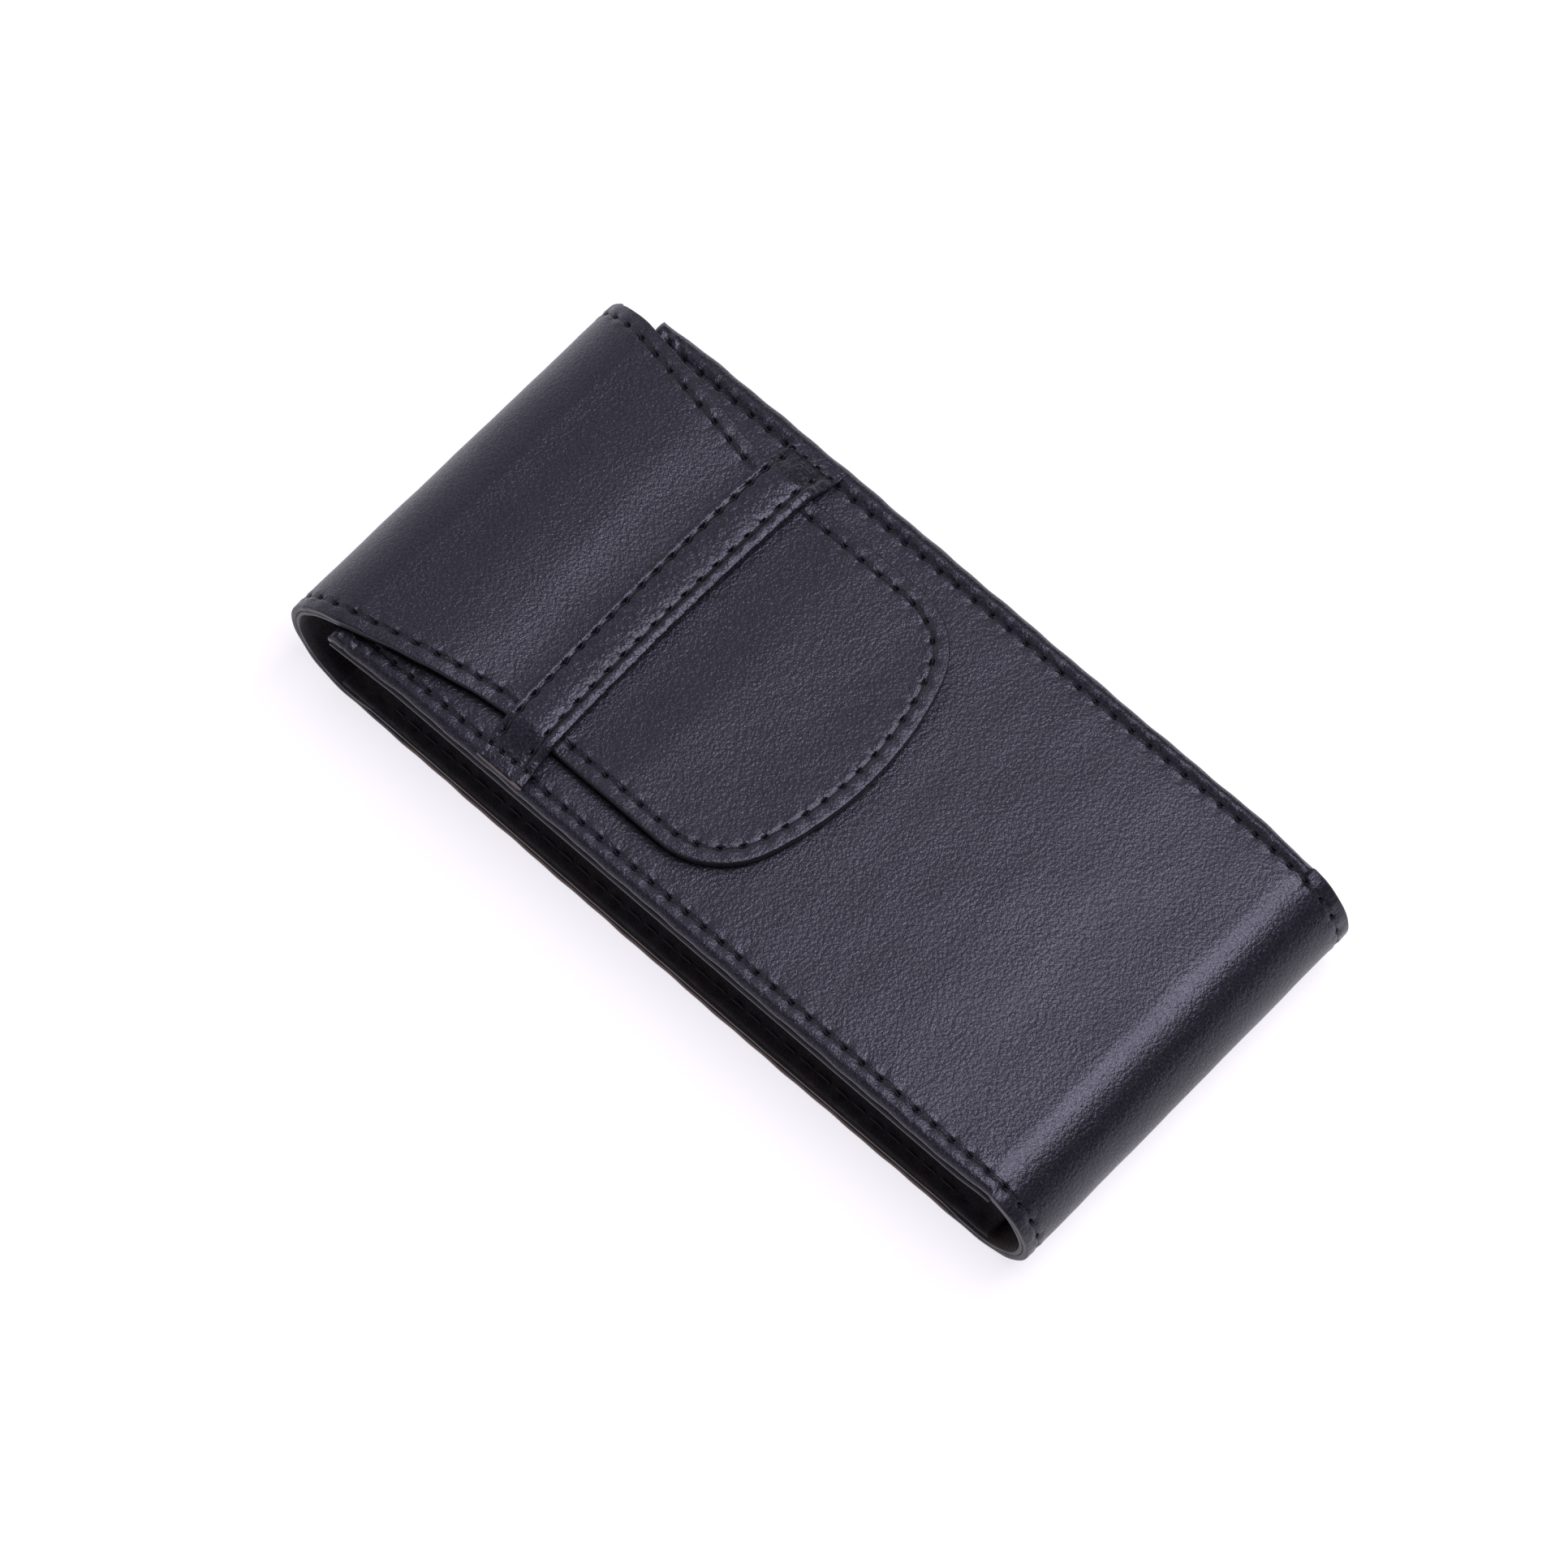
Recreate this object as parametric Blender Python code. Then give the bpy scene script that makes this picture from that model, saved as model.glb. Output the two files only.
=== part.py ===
"""Leather tuck-flap pouch lying on its back, front panel up. Metres, +Z up.

One leather strip runs from the front panel's mouth round the bottom bend, along the back, round the
top bend and over the mouth as a flap, whose tongue tucks under a keeper strap sewn across the front.
+Y points to the top bend, +X across the pouch, and the back panel's outer face lies on Z = 0.
"""

import math

import bmesh
import bpy
from mathutils import Matrix

MM = 0.001

# overall
LENGTH = 160.0
WIDTH = 76.0
BODY_T = 22.6
FLAP_T = 25.2

# layers of the strip, as depths from its outer face
LEATHER_T = 1.2
LAYER_GAP = 0.2
LINING_T = 0.7
CORE_T = 0.8
LINING_INSET = 0.5
CORE_INSET = 5.0
CORE_HALF_Y = 61.0
DIP_Y = (62.0, 64.0, 66.0)
DIP_END_Y = 66.5
DIP_RUN = 4.5

# bends
BOTTOM_R = BODY_T / 2
TOP_R = FLAP_T / 2
BOTTOM_Y = -LENGTH / 2 + BOTTOM_R
TOP_Y = LENGTH / 2 - TOP_R
ARC_STEP = 7.5
HINGE_ARCS = (30.0, 90.0, 150.0)
SPLIT_GAP = 0.3

# front panel and gussets
MOUTH_Y = 69.0
GUSSET_T = 0.8
GUSSET_FLANGE = 5.0
GUSSET_FOLD = 13.0
GUSSET_EDGE = 0.8
GUSSET_FOLD_R = 1.2
GUSSET_Y = (-69.3, 68.4)

# flap and tongue, half widths at given Y
FLAP_HALF = (
    (90.0, 38.0),
    (73.0, 38.0),
    (70.0, 37.0),
    (64.0, 35.6),
    (57.0, 34.2),
    (48.0, 32.0),
    (41.0, 30.5),
    (36.0, 30.2),
    (0.0, 30.2),
)
TONGUE_ROOT_Y = 27.3
TONGUE_TIP_Y = -12.0
TONGUE_CORNER_R = 15.0
TONGUE_CROWN = 3.0

# keeper strap
STRAP_Y = (28.7, 39.2)
STRAP_HALF = 37.4
STRAP_FOOT_X = 34.0
STRAP_RISE_X = 30.9
STRAP_LEATHER_T = 1.0
STRAP_BACKING_T = 0.5
STRAP_CLEAR = 0.3
STRAP_SEAM_IN = 2.2
STRAP_END_IN = 1.7

# stitching
SEAM_IN = 2.65
THREAD_R = 0.25
THREAD_DEPTH = 0.32
GROOVE_R = 0.5

COLOURS = {
    "leather": ((0.035, 0.033, 0.042), 0.5),
    "lining": ((0.022, 0.016, 0.014), 0.95),
    "gusset": ((0.012, 0.012, 0.013), 0.95),
    "core": ((0.30, 0.27, 0.22), 0.9),
    "thread": ((0.010, 0.010, 0.011), 0.7),
}


def clear_scene():
    for obj in list(bpy.data.objects):
        bpy.data.objects.remove(obj, do_unlink=True)


def make_collection(name, hidden=False):
    collection = bpy.data.collections.new(name)
    bpy.context.scene.collection.children.link(collection)
    collection.hide_render = hidden
    return collection


def paint(obj, kind):
    """Each object carries its own material."""
    colour, roughness = COLOURS[kind]
    material = bpy.data.materials.new(obj.name)
    material.use_nodes = True
    shader = material.node_tree.nodes["Principled BSDF"]
    shader.inputs["Base Color"].default_value = (*colour, 1.0)
    shader.inputs["Roughness"].default_value = roughness
    shader.inputs["Metallic"].default_value = 0.0
    obj.data.materials.clear()
    obj.data.materials.append(material)


def set_origin(obj, origin):
    """Moves the object's origin to a point in mm without moving its shape."""
    shift = Matrix.Translation([-value * MM for value in origin])
    obj.data.transform(shift)
    obj.location = [value * MM for value in origin]


def prism(name, outline, place, low, high, collection):
    """A closed outline in mm, extruded between two levels; place(a, b, level) gives XYZ in mm."""
    mesh = bpy.data.meshes.new(name)
    shape = bmesh.new()
    corners = [shape.verts.new([value * MM for value in place(a, b, low)]) for a, b in outline]
    base = shape.faces.new(corners)
    grown = bmesh.ops.extrude_face_region(shape, geom=[base])
    lift = [end - start for start, end in zip(place(0, 0, low), place(0, 0, high))]
    moved = [item for item in grown["geom"] if isinstance(item, bmesh.types.BMVert)]
    bmesh.ops.translate(shape, verts=moved, vec=[value * MM for value in lift])
    bmesh.ops.recalc_face_normals(shape, faces=shape.faces)
    bmesh.ops.triangulate(shape, faces=[face for face in shape.faces if len(face.verts) > 4])
    shape.to_mesh(mesh)
    shape.free()
    obj = bpy.data.objects.new(name, mesh)
    collection.objects.link(obj)
    return obj


def across_x(a, b, level):
    return (level, a, b)


def along_y(a, b, level):
    return (a, level, b)


def up_z(a, b, level):
    return (a, b, level)


def smooth_step(value):
    value = min(max(value, 0.0), 1.0)
    return value * value * (3.0 - 2.0 * value)


def half_width(y, inset=0.0):
    """Half width of the strip at Y, from the flap's outline."""
    for (y1, w1), (y0, w0) in zip(FLAP_HALF, FLAP_HALF[1:]):
        if y >= y0:
            return w0 + (w1 - w0) * (min(y, y1) - y0) / (y1 - y0) - inset
    return FLAP_HALF[-1][1] - inset


def arc(centre_y, centre_z, radius, start, end):
    """Stations (y, z, inward y, inward z) on an arc, angles in degrees from +Y towards +Z."""
    count = max(1, math.ceil(abs(end - start) / ARC_STEP))
    stations = []
    for i in range(count + 1):
        angle = math.radians(start + (end - start) * i / count)
        across, upward = math.cos(angle), math.sin(angle)
        stations.append((centre_y + radius * across, centre_z + radius * upward, -across, -upward))
    return stations


def top_arc(start, end):
    """Part of the top bend between two arc angles counted from the back panel, less half a split."""
    trim = math.degrees(SPLIT_GAP / 2 / TOP_R)
    first = start + trim if start > 0.0 else start
    last = end - trim if end < 180.0 else end
    return arc(TOP_Y, TOP_R, TOP_R, first - 90.0, last - 90.0)


def body_stations():
    """Outer face of the strip from the mouth, round the bottom bend and up to the first hinge line."""
    dips = [-y for y in DIP_Y[::-1]] + list(DIP_Y)
    front = [(y, BODY_T, 0.0, -1.0) for y in (MOUTH_Y, *dips[::-1])]
    back = [(y, 0.0, 0.0, 1.0) for y in dips]
    return front + arc(BOTTOM_Y, BOTTOM_R, BOTTOM_R, 90.0, 270.0) + back + top_arc(0.0, HINGE_ARCS[0])


def flap_stations():
    flat = [(y, FLAP_T, 0.0, -1.0) for y in (57.0, 41.0, TONGUE_ROOT_Y + SPLIT_GAP / 2)]
    return top_arc(HINGE_ARCS[2], 180.0) + flat


def lining_depth(y):
    """The lining dips inwards over the padding and the stiffener, between the two bends."""
    panel = smooth_step((DIP_END_Y - abs(y)) / DIP_RUN)
    return LEATHER_T + LAYER_GAP + panel * (CORE_T + LAYER_GAP)


def sheet_outline(stations, outer, thickness):
    """Closed outline of a layer that follows the stations; outer(y) is the depth of its outer face."""
    near = [(y + ny * outer(y), z + nz * outer(y)) for y, z, ny, nz in stations]
    far = [(y + ny * (outer(y) + thickness), z + nz * (outer(y) + thickness)) for y, z, ny, nz in stations]
    return near + far[::-1]


def strip_layer(name, stations, outer, thickness, inset, kind, collection):
    half = WIDTH / 2 - inset
    obj = prism(name, sheet_outline(stations, outer, thickness), across_x, -half, half, collection)
    paint(obj, kind)
    return obj


def leather_face(_):
    return 0.0


def lining_face(_):
    return LEATHER_T + LAYER_GAP


def thread_path(stations, x_at, depth):
    return [(x_at(y), y + ny * depth, z + nz * depth) for y, z, ny, nz in stations]


def tube_curve(name, points, radius, collection):
    curve = bpy.data.curves.new(name, "CURVE")
    curve.dimensions = "3D"
    curve.bevel_depth = radius * MM
    curve.bevel_resolution = 1
    curve.use_fill_caps = True
    line = curve.splines.new("POLY")
    line.points.add(len(points) - 1)
    for point, place in zip(line.points, points):
        point.co = (*(value * MM for value in place), 1.0)
    obj = bpy.data.objects.new(name, curve)
    collection.objects.link(obj)
    return obj


def lengthen(points, extra):
    """Carries both ends of a path on in a straight line."""
    ends = []
    for tip, inner in ((points[0], points[1]), (points[-1], points[-2])):
        span = math.dist(tip, inner)
        ends.append(tuple(a + (a - b) * extra / span for a, b in zip(tip, inner)))
    return [ends[0], *points, ends[1]]


def stitch(name, points, leather, run_out, collection, cutters):
    """A strand of thread lying in its own groove in the leather."""
    thread = tube_curve(name, points, THREAD_R, collection)
    paint(thread, "thread")
    cutter_curve = tube_curve("groove_" + name, lengthen(points, run_out), GROOVE_R, cutters)
    graph = bpy.context.evaluated_depsgraph_get()
    mesh = bpy.data.meshes.new_from_object(cutter_curve.evaluated_get(graph))
    bpy.data.objects.remove(cutter_curve, do_unlink=True)
    shape = bmesh.new()
    shape.from_mesh(mesh)
    bmesh.ops.remove_doubles(shape, verts=shape.verts, dist=1e-7)
    bmesh.ops.recalc_face_normals(shape, faces=shape.faces)
    shape.to_mesh(mesh)
    shape.free()
    cutter = bpy.data.objects.new("groove_" + name, mesh)
    cut(leather, cutter, "DIFFERENCE", cutters)
    return thread


def cut(target, cutter, operation, cutters):
    """Boolean of a cutter on a target, both in world space."""
    if cutter.name not in cutters.objects:
        cutters.objects.link(cutter)
    cutter.hide_render = True
    cutter.display_type = "WIRE"
    modifier = target.modifiers.new(cutter.name, "BOOLEAN")
    modifier.operation = operation
    modifier.solver = "EXACT"
    modifier.object = cutter


def build_body(collection, cutters):
    stations = body_stations()
    leather = strip_layer("body_leather", stations, leather_face, LEATHER_T, 0.0, "leather", collection)
    strip_layer("body_lining", stations, lining_depth, LINING_T, LINING_INSET, "lining", collection)
    half = WIDTH / 2 - CORE_INSET
    depth = LEATHER_T + LAYER_GAP
    for name, low in (("front_padding", BODY_T - depth - CORE_T), ("back_stiffener", depth)):
        ends = (-CORE_HALF_Y, CORE_HALF_Y)
        high = low + CORE_T
        board = [(ends[0], low), (ends[1], low), (ends[1], high), (ends[0], high)]
        paint(prism(name, board, across_x, -half, half, collection), "core")
    for side, label in ((-1, "left"), (1, "right")):
        run = thread_path(stations, lambda _: side * (WIDTH / 2 - SEAM_IN), THREAD_DEPTH)
        stitch(f"body_{label}_stitching", run, leather, 1.0, collection, cutters)


def build_gussets(collection):
    """Bellows sides: a V open to the outside, its two flanges lying on the back and under the front."""
    low = LEATHER_T + 2 * LAYER_GAP + CORE_T + LINING_T + 0.25
    edge, bend, fold = GUSSET_EDGE, GUSSET_FLANGE, GUSSET_FOLD
    middle = BODY_T / 2
    outer = [(edge, low), (bend, low), (fold, middle - GUSSET_FOLD_R), (fold + 0.6, middle)]
    high = low + GUSSET_T
    inner = [(edge, high), (bend - 0.5, high), (fold - 1.1, middle - 0.6), (fold - 0.7, middle)]
    upper_outer = [(x, BODY_T - z) for x, z in outer[:-1]]
    upper_inner = [(x, BODY_T - z) for x, z in inner[:-1]]
    outline = outer + upper_outer[::-1] + upper_inner + inner[::-1]
    for side, label in ((-1, "left"), (1, "right")):
        ring = [(side * (WIDTH / 2 - x), z) for x, z in outline]
        gusset = prism(f"{label}_gusset", ring, along_y, *GUSSET_Y, collection)
        paint(gusset, "gusset")


def strap_base(x):
    """Height of the strap's underside: down on the panel at its ends, up over the flap between."""
    rise = smooth_step((STRAP_FOOT_X - abs(x)) / (STRAP_FOOT_X - STRAP_RISE_X))
    foot = BODY_T + STRAP_CLEAR
    return foot + rise * (FLAP_T + STRAP_CLEAR - foot)


def strap_line():
    """Stations (x, z) of the strap's underside."""
    ramp = [STRAP_RISE_X + (STRAP_FOOT_X - STRAP_RISE_X) * i / 6 for i in range(7)]
    xs = [-STRAP_HALF, *(-x for x in ramp[::-1]), *ramp, STRAP_HALF]
    return [(x, strap_base(x)) for x in xs]


def strap_layer(name, bottom, thickness, collection):
    near = [(x, z + bottom) for x, z in strap_line()]
    far = [(x, z + bottom + thickness) for x, z in strap_line()]
    obj = prism(name, near + far[::-1], along_y, *STRAP_Y, collection)
    paint(obj, "leather")
    return obj


def build_strap(collection, cutters):
    strap_layer("strap_backing", 0.0, STRAP_BACKING_T, collection)
    leather = strap_layer("strap_leather", STRAP_BACKING_T + LAYER_GAP, STRAP_LEATHER_T, collection)
    level = STRAP_BACKING_T + LAYER_GAP + STRAP_LEATHER_T - THREAD_DEPTH
    rows = (("lower", STRAP_Y[0] + STRAP_SEAM_IN), ("upper", STRAP_Y[1] - STRAP_SEAM_IN))
    for label, y in rows:
        path = [(x, y, z + level) for x, z in strap_line()]
        stitch(f"strap_{label}_stitching", path, leather, 1.0, collection, cutters)
    for side, label in ((-1, "left"), (1, "right")):
        x = side * (STRAP_HALF - STRAP_END_IN)
        z = strap_base(x) + level
        path = [(x, rows[0][1] + 1.2, z), (x, rows[1][1] - 1.2, z)]
        stitch(f"strap_{label}_end_stitching", path, leather, 0.25, collection, cutters)


def hinge_point(arc_angle):
    """A point of the hinge line at this arc angle, on the outer face of the top bend."""
    angle = math.radians(arc_angle - 90.0)
    return (0.0, TOP_Y + TOP_R * math.cos(angle), TOP_R + TOP_R * math.sin(angle))


def build_bend(collection, cutters):
    """The top bend between flap and back, in two segments that turn about lines on its outer face."""
    for label, start, end in (("lower", *HINGE_ARCS[:2]), ("upper", *HINGE_ARCS[1:])):
        stations = top_arc(start, end)
        name = f"bend_{label}"
        layers = (("leather", leather_face, LEATHER_T, 0.0), ("lining", lining_face, LINING_T, LINING_INSET))
        parts = []
        for kind, outer, thickness, inset in layers:
            layer = f"{name}_{kind}"
            parts.append(strip_layer(layer, stations, outer, thickness, inset, kind, collection))
        leather = parts[0]
        for side, where in ((-1, "left"), (1, "right")):
            run = thread_path(stations, lambda _: side * (WIDTH / 2 - SEAM_IN), THREAD_DEPTH)
            parts.append(stitch(f"{name}_{where}_stitching", run, leather, 1.0, collection, cutters))
        for obj in parts:
            set_origin(obj, hinge_point(start))


def flap_plan(inset):
    """Plan outline of the flap back to beyond the top bend."""
    edge = [(half_width(y, inset), y) for y in (95.0, 73.0, 70.0, 64.0, 57.0, 48.0, 41.0, 36.0, 20.0)]
    return edge + [(-x, y) for x, y in edge[::-1]]


def tongue_plan(inset):
    """Plan outline of the tongue: straight sides, round corners and a gently crowned tip."""
    half = FLAP_HALF[-1][1] - inset
    root = TONGUE_ROOT_Y - SPLIT_GAP / 2
    radius = TONGUE_CORNER_R - inset
    tip = TONGUE_TIP_Y + inset
    shoulder = tip + TONGUE_CROWN
    side = [(half, root)]
    for i in range(9):
        angle = math.radians(90.0 * i / 8)
        x = half - radius + radius * math.cos(angle)
        y = shoulder + radius - radius * math.sin(angle)
        fall = 1.0 - (x / half) ** 2
        side.append((x, y - TONGUE_CROWN * fall))
    for share in (0.75, 0.5, 0.25):
        x = (half - radius) * share
        side.append((x, shoulder - TONGUE_CROWN * (1.0 - (x / half) ** 2)))
    return side + [(0.0, tip)] + [(-x, y) for x, y in side[::-1]]


def build_flap(collection, cutters):
    stations = flap_stations()
    layers = (("leather", leather_face, LEATHER_T, 0.0), ("lining", lining_face, LINING_T, LINING_INSET))
    parts = {}
    for label, outer, thickness, inset in layers:
        obj = strip_layer(f"flap_{label}", stations, outer, thickness, inset, label, collection)
        plan = prism(f"plan_{label}", flap_plan(inset), up_z, FLAP_T - 15.0, FLAP_T + 5.0, cutters)
        cut(obj, plan, "INTERSECT", cutters)
        parts[label] = obj
    flat = [y for y, _ in FLAP_HALF if TONGUE_ROOT_Y < y < TOP_Y] + [TONGUE_ROOT_Y + SPLIT_GAP / 2]
    run = top_arc(HINGE_ARCS[2], 180.0) + [(y, FLAP_T, 0.0, -1.0) for y in flat]
    leather = parts["leather"]
    for side, where in ((-1, "left"), (1, "right")):
        path = thread_path(run, lambda y: side * half_width(y, SEAM_IN), THREAD_DEPTH)
        parts[where] = stitch(f"flap_{where}_stitching", path, leather, 1.0, collection, cutters)
    for obj in parts.values():
        set_origin(obj, hinge_point(HINGE_ARCS[2]))


def build_tongue(collection, cutters):
    top = FLAP_T
    leather = prism("tongue_leather", tongue_plan(0.0), up_z, top - LEATHER_T, top, collection)
    paint(leather, "leather")
    under = top - LEATHER_T - LAYER_GAP
    lining = prism("tongue_lining", tongue_plan(LINING_INSET), up_z, under - LINING_T, under, collection)
    paint(lining, "lining")
    path = [(x, y, top - THREAD_DEPTH) for x, y in tongue_plan(SEAM_IN)]
    thread = stitch("tongue_stitching", path, leather, 1.0, collection, cutters)
    for obj in (leather, lining, thread):
        set_origin(obj, (0.0, TONGUE_ROOT_Y, FLAP_T))


def main():
    clear_scene()
    pouch = make_collection("leather_tuck_flap_pouch")
    cutters = make_collection("cutters", hidden=True)
    build_body(pouch, cutters)
    build_gussets(pouch)
    build_strap(pouch, cutters)
    build_bend(pouch, cutters)
    build_flap(pouch, cutters)
    build_tongue(pouch, cutters)


main()
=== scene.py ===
"""Looks for the leather tuck-flap pouch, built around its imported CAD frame.

Lengths are in mm until a mesh is made.
"""

import math

import bmesh
import bpy
import numpy as np
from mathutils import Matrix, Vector


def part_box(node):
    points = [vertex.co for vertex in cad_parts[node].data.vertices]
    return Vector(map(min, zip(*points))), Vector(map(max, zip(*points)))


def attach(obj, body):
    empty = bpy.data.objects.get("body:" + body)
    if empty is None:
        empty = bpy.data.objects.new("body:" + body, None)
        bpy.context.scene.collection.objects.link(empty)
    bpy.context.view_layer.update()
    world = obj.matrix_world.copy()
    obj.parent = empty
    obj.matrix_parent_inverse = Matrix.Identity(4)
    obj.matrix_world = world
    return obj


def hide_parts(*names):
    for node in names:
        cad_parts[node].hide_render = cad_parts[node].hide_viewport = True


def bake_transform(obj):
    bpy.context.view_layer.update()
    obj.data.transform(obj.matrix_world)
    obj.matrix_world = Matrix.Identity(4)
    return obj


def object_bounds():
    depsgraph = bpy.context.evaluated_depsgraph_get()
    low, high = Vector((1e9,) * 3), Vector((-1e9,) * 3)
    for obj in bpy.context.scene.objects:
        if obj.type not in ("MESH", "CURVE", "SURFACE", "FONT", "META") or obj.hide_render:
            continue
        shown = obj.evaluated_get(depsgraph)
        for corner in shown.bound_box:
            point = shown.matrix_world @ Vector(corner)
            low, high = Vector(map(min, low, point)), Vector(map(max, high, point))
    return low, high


MM = 0.001
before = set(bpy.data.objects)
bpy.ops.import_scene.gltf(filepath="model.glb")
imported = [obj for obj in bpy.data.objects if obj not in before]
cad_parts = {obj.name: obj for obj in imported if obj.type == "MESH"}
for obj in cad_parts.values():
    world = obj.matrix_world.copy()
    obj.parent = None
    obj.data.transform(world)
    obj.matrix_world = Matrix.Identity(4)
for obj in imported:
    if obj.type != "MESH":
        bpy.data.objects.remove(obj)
cad_low, cad_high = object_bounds()


def node_box(name):
    low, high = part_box(name)
    return np.array(low) / MM, np.array(high) / MM


body_low, body_high = node_box("body_leather")
_, flap_high = node_box("flap_leather")
tongue_low, tongue_high = node_box("tongue_leather")
strap_low, strap_high = node_box("strap_leather")
_, gusset_high = node_box("left_gusset")

# overall, from the frame
HALF_W = body_high[0]
BODY_T = body_high[2]
FLAP_T = flap_high[2]
BOTTOM_R = BODY_T / 2
TOP_R = FLAP_T / 2
BOTTOM_Y = body_low[1] + BOTTOM_R
TOP_Y = cad_high[1] / MM - TOP_R
MOUTH_OVER_GUSSET = 1.4
MOUTH_Y = gusset_high[1] + MOUTH_OVER_GUSSET
TONGUE_HALF = tongue_high[0]
TONGUE_TIP = tongue_low[1]
STRAP_LO, STRAP_HI = strap_low[1], strap_high[1]
STRAP_HALF = strap_high[0]

# the strip's arc length, from the front panel's mouth to the end of the top bend
S_FRONT = MOUTH_Y - BOTTOM_Y
S_BACK = S_FRONT + math.pi * BOTTOM_R
S_TOP = S_BACK + TOP_Y - BOTTOM_Y
S_FLAP = S_TOP + math.pi * TOP_R
ARC = math.pi * TOP_R / 3
TONGUE_TUCK = 2.8
TONGUE_CUT_Y = STRAP_LO + TONGUE_TUCK
S_TONGUE = S_FLAP + TOP_Y - TONGUE_CUT_Y

# layers
LEATHER_T = 1.2
LINING_T = 0.7
LINING_TOP = LEATHER_T + 0.03
LINING_START = 1.2
SEAM_IN = 2.65
PITCH = 3.75
HOLE_LONG = 0.40
HOLE_WIDE = 0.25
THREAD_R = 0.14

# tongue outline
CORNER_R = 15.0
TIP_R = 60.0


# ---- shape helpers


def smooth(value):
    value = np.clip(value, 0.0, 1.0)
    return value * value * (3.0 - 2.0 * value)


def ramp(value, start, end):
    return smooth((value - start) / (end - start))


def bump(value, centre, width):
    return np.exp(-(((value - centre) / width) ** 2))


def needle_hole(along, e, long, wide):
    """1 in a hole with half lengths long and wide, 0 away from it."""
    return np.exp(-((np.abs(along) / long) ** 3) - (np.abs(e) / wide) ** 3)


def scallops(along, pitch):
    """0 at each hole, 1 half way to the next."""
    return 0.5 - 0.5 * np.cos(2 * math.pi * along / pitch)


def to_nearest(place, pitch):
    """Signed distance to the nearest multiple of the pitch."""
    return (place + pitch / 2) % pitch - pitch / 2


def unit(vectors):
    return vectors / np.linalg.norm(vectors, axis=-1, keepdims=True)


def run_length(points):
    """Distance along a line of points to each of them."""
    return np.concatenate([[0.0], np.cumsum(np.linalg.norm(np.diff(points, axis=0), axis=1))])


def ripple(a, b):
    """Slow unevenness of soft leather, about plus or minus one."""
    first = np.sin(0.13 * a + 0.21 * b + 0.4) * np.sin(0.19 * b - 0.05 * a + 1.1)
    second = np.sin(0.34 * a - 0.27 * b + 2.3) * 0.45
    third = np.sin(0.71 * a + 0.58 * b + 4.0) * np.sin(0.47 * b + 0.9) * 0.3
    return first * 0.6 + second * 0.6 + third


def profile(s):
    """Outer face of the strip: y, z and its outward normal at arc length s."""
    s = np.asarray(s, float)
    turn_low = math.pi / 2 + (s - S_FRONT) / BOTTOM_R
    turn_top = -math.pi / 2 + (s - S_TOP) / TOP_R
    parts = [s < S_FRONT, s < S_BACK, s < S_TOP, s < S_FLAP]
    y = np.select(
        parts,
        [
            MOUTH_Y - s,
            BOTTOM_Y + BOTTOM_R * np.cos(turn_low),
            BOTTOM_Y + s - S_BACK,
            TOP_Y + TOP_R * np.cos(turn_top),
        ],
        TOP_Y - (s - S_FLAP),
    )
    z = np.select(
        parts,
        [BODY_T + 0 * s, BOTTOM_R + BOTTOM_R * np.sin(turn_low), 0 * s, TOP_R + TOP_R * np.sin(turn_top)],
        FLAP_T + 0 * s,
    )
    ny = np.select(parts, [0 * s, np.cos(turn_low), 0 * s, np.cos(turn_top)], 0 * s)
    nz = np.select(parts, [1 + 0 * s, np.sin(turn_low), -1 + 0 * s, np.sin(turn_top)], 1 + 0 * s)
    return y, z, ny, nz


# half widths: along the body by arc length, along the flap by y
BODY_LEFT = ((0.0, 38.0), (S_FRONT, 38.0), (S_BACK, 38.0), (S_BACK + 50, 38.3), (S_TOP, 38.0), (S_FLAP, 38.0))
BODY_RIGHT = ((0.0, 38.1), (S_FRONT - 8, 38.0), (S_FRONT + 3, 37.4))
BODY_RIGHT += ((S_BACK, 37.5), (S_TOP, 36.9), (S_FLAP, 36.6))
FLAP_LEFT = ((20.0, 30.3), (36.0, 30.3), (41.0, 30.5), (48.0, 31.9))
FLAP_LEFT += ((57.0, 34.1), (64.0, 35.8), (71.0, 37.5), (78.0, 38.0))
FLAP_RIGHT = ((20.0, 30.2), (34.0, 30.2), (41.0, 30.8), (48.0, 32.0))
FLAP_RIGHT += ((56.0, 33.3), (62.0, 34.3), (70.0, 35.7), (78.0, 36.6))
# how far the padded front edge swells past its seam line, by arc length
SWELL_LEFT = ((0.0, 1.2), (6.0, 0.9), (14.0, 0.5), (50.0, 0.4), (S_FRONT - 3, 0.4), (S_FRONT + 2, 0.0))
SWELL_RIGHT = ((0.0, 0.8), (10.0, 1.2), (42.0, 1.15), (68.0, 0.85))
SWELL_RIGHT += ((104.0, 0.4), (S_FRONT - 4, 0.25), (S_FRONT + 1, 0.0))
TABLE_STEP = 0.25


def softened(table, reach):
    """Table of (place, value) sampled finely and rounded off over a reach in mm."""
    table = np.array(table)
    places = np.arange(-40.0, S_TONGUE + 60.0, TABLE_STEP)
    count = int(reach / TABLE_STEP) | 1
    values = np.interp(places, table[:, 0], table[:, 1])
    values = np.pad(values, count // 2, mode="edge")
    return places, np.convolve(values, np.ones(count) / count, mode="valid")


BODY_WIDTHS = {-1: softened(BODY_LEFT, 5.0), 1: softened(BODY_RIGHT, 5.0)}
FLAP_WIDTHS = {-1: softened(FLAP_LEFT, 7.0), 1: softened(FLAP_RIGHT, 7.0)}
SWELLS = {-1: softened(SWELL_LEFT, 3.0), 1: softened(SWELL_RIGHT, 3.0)}


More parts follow.
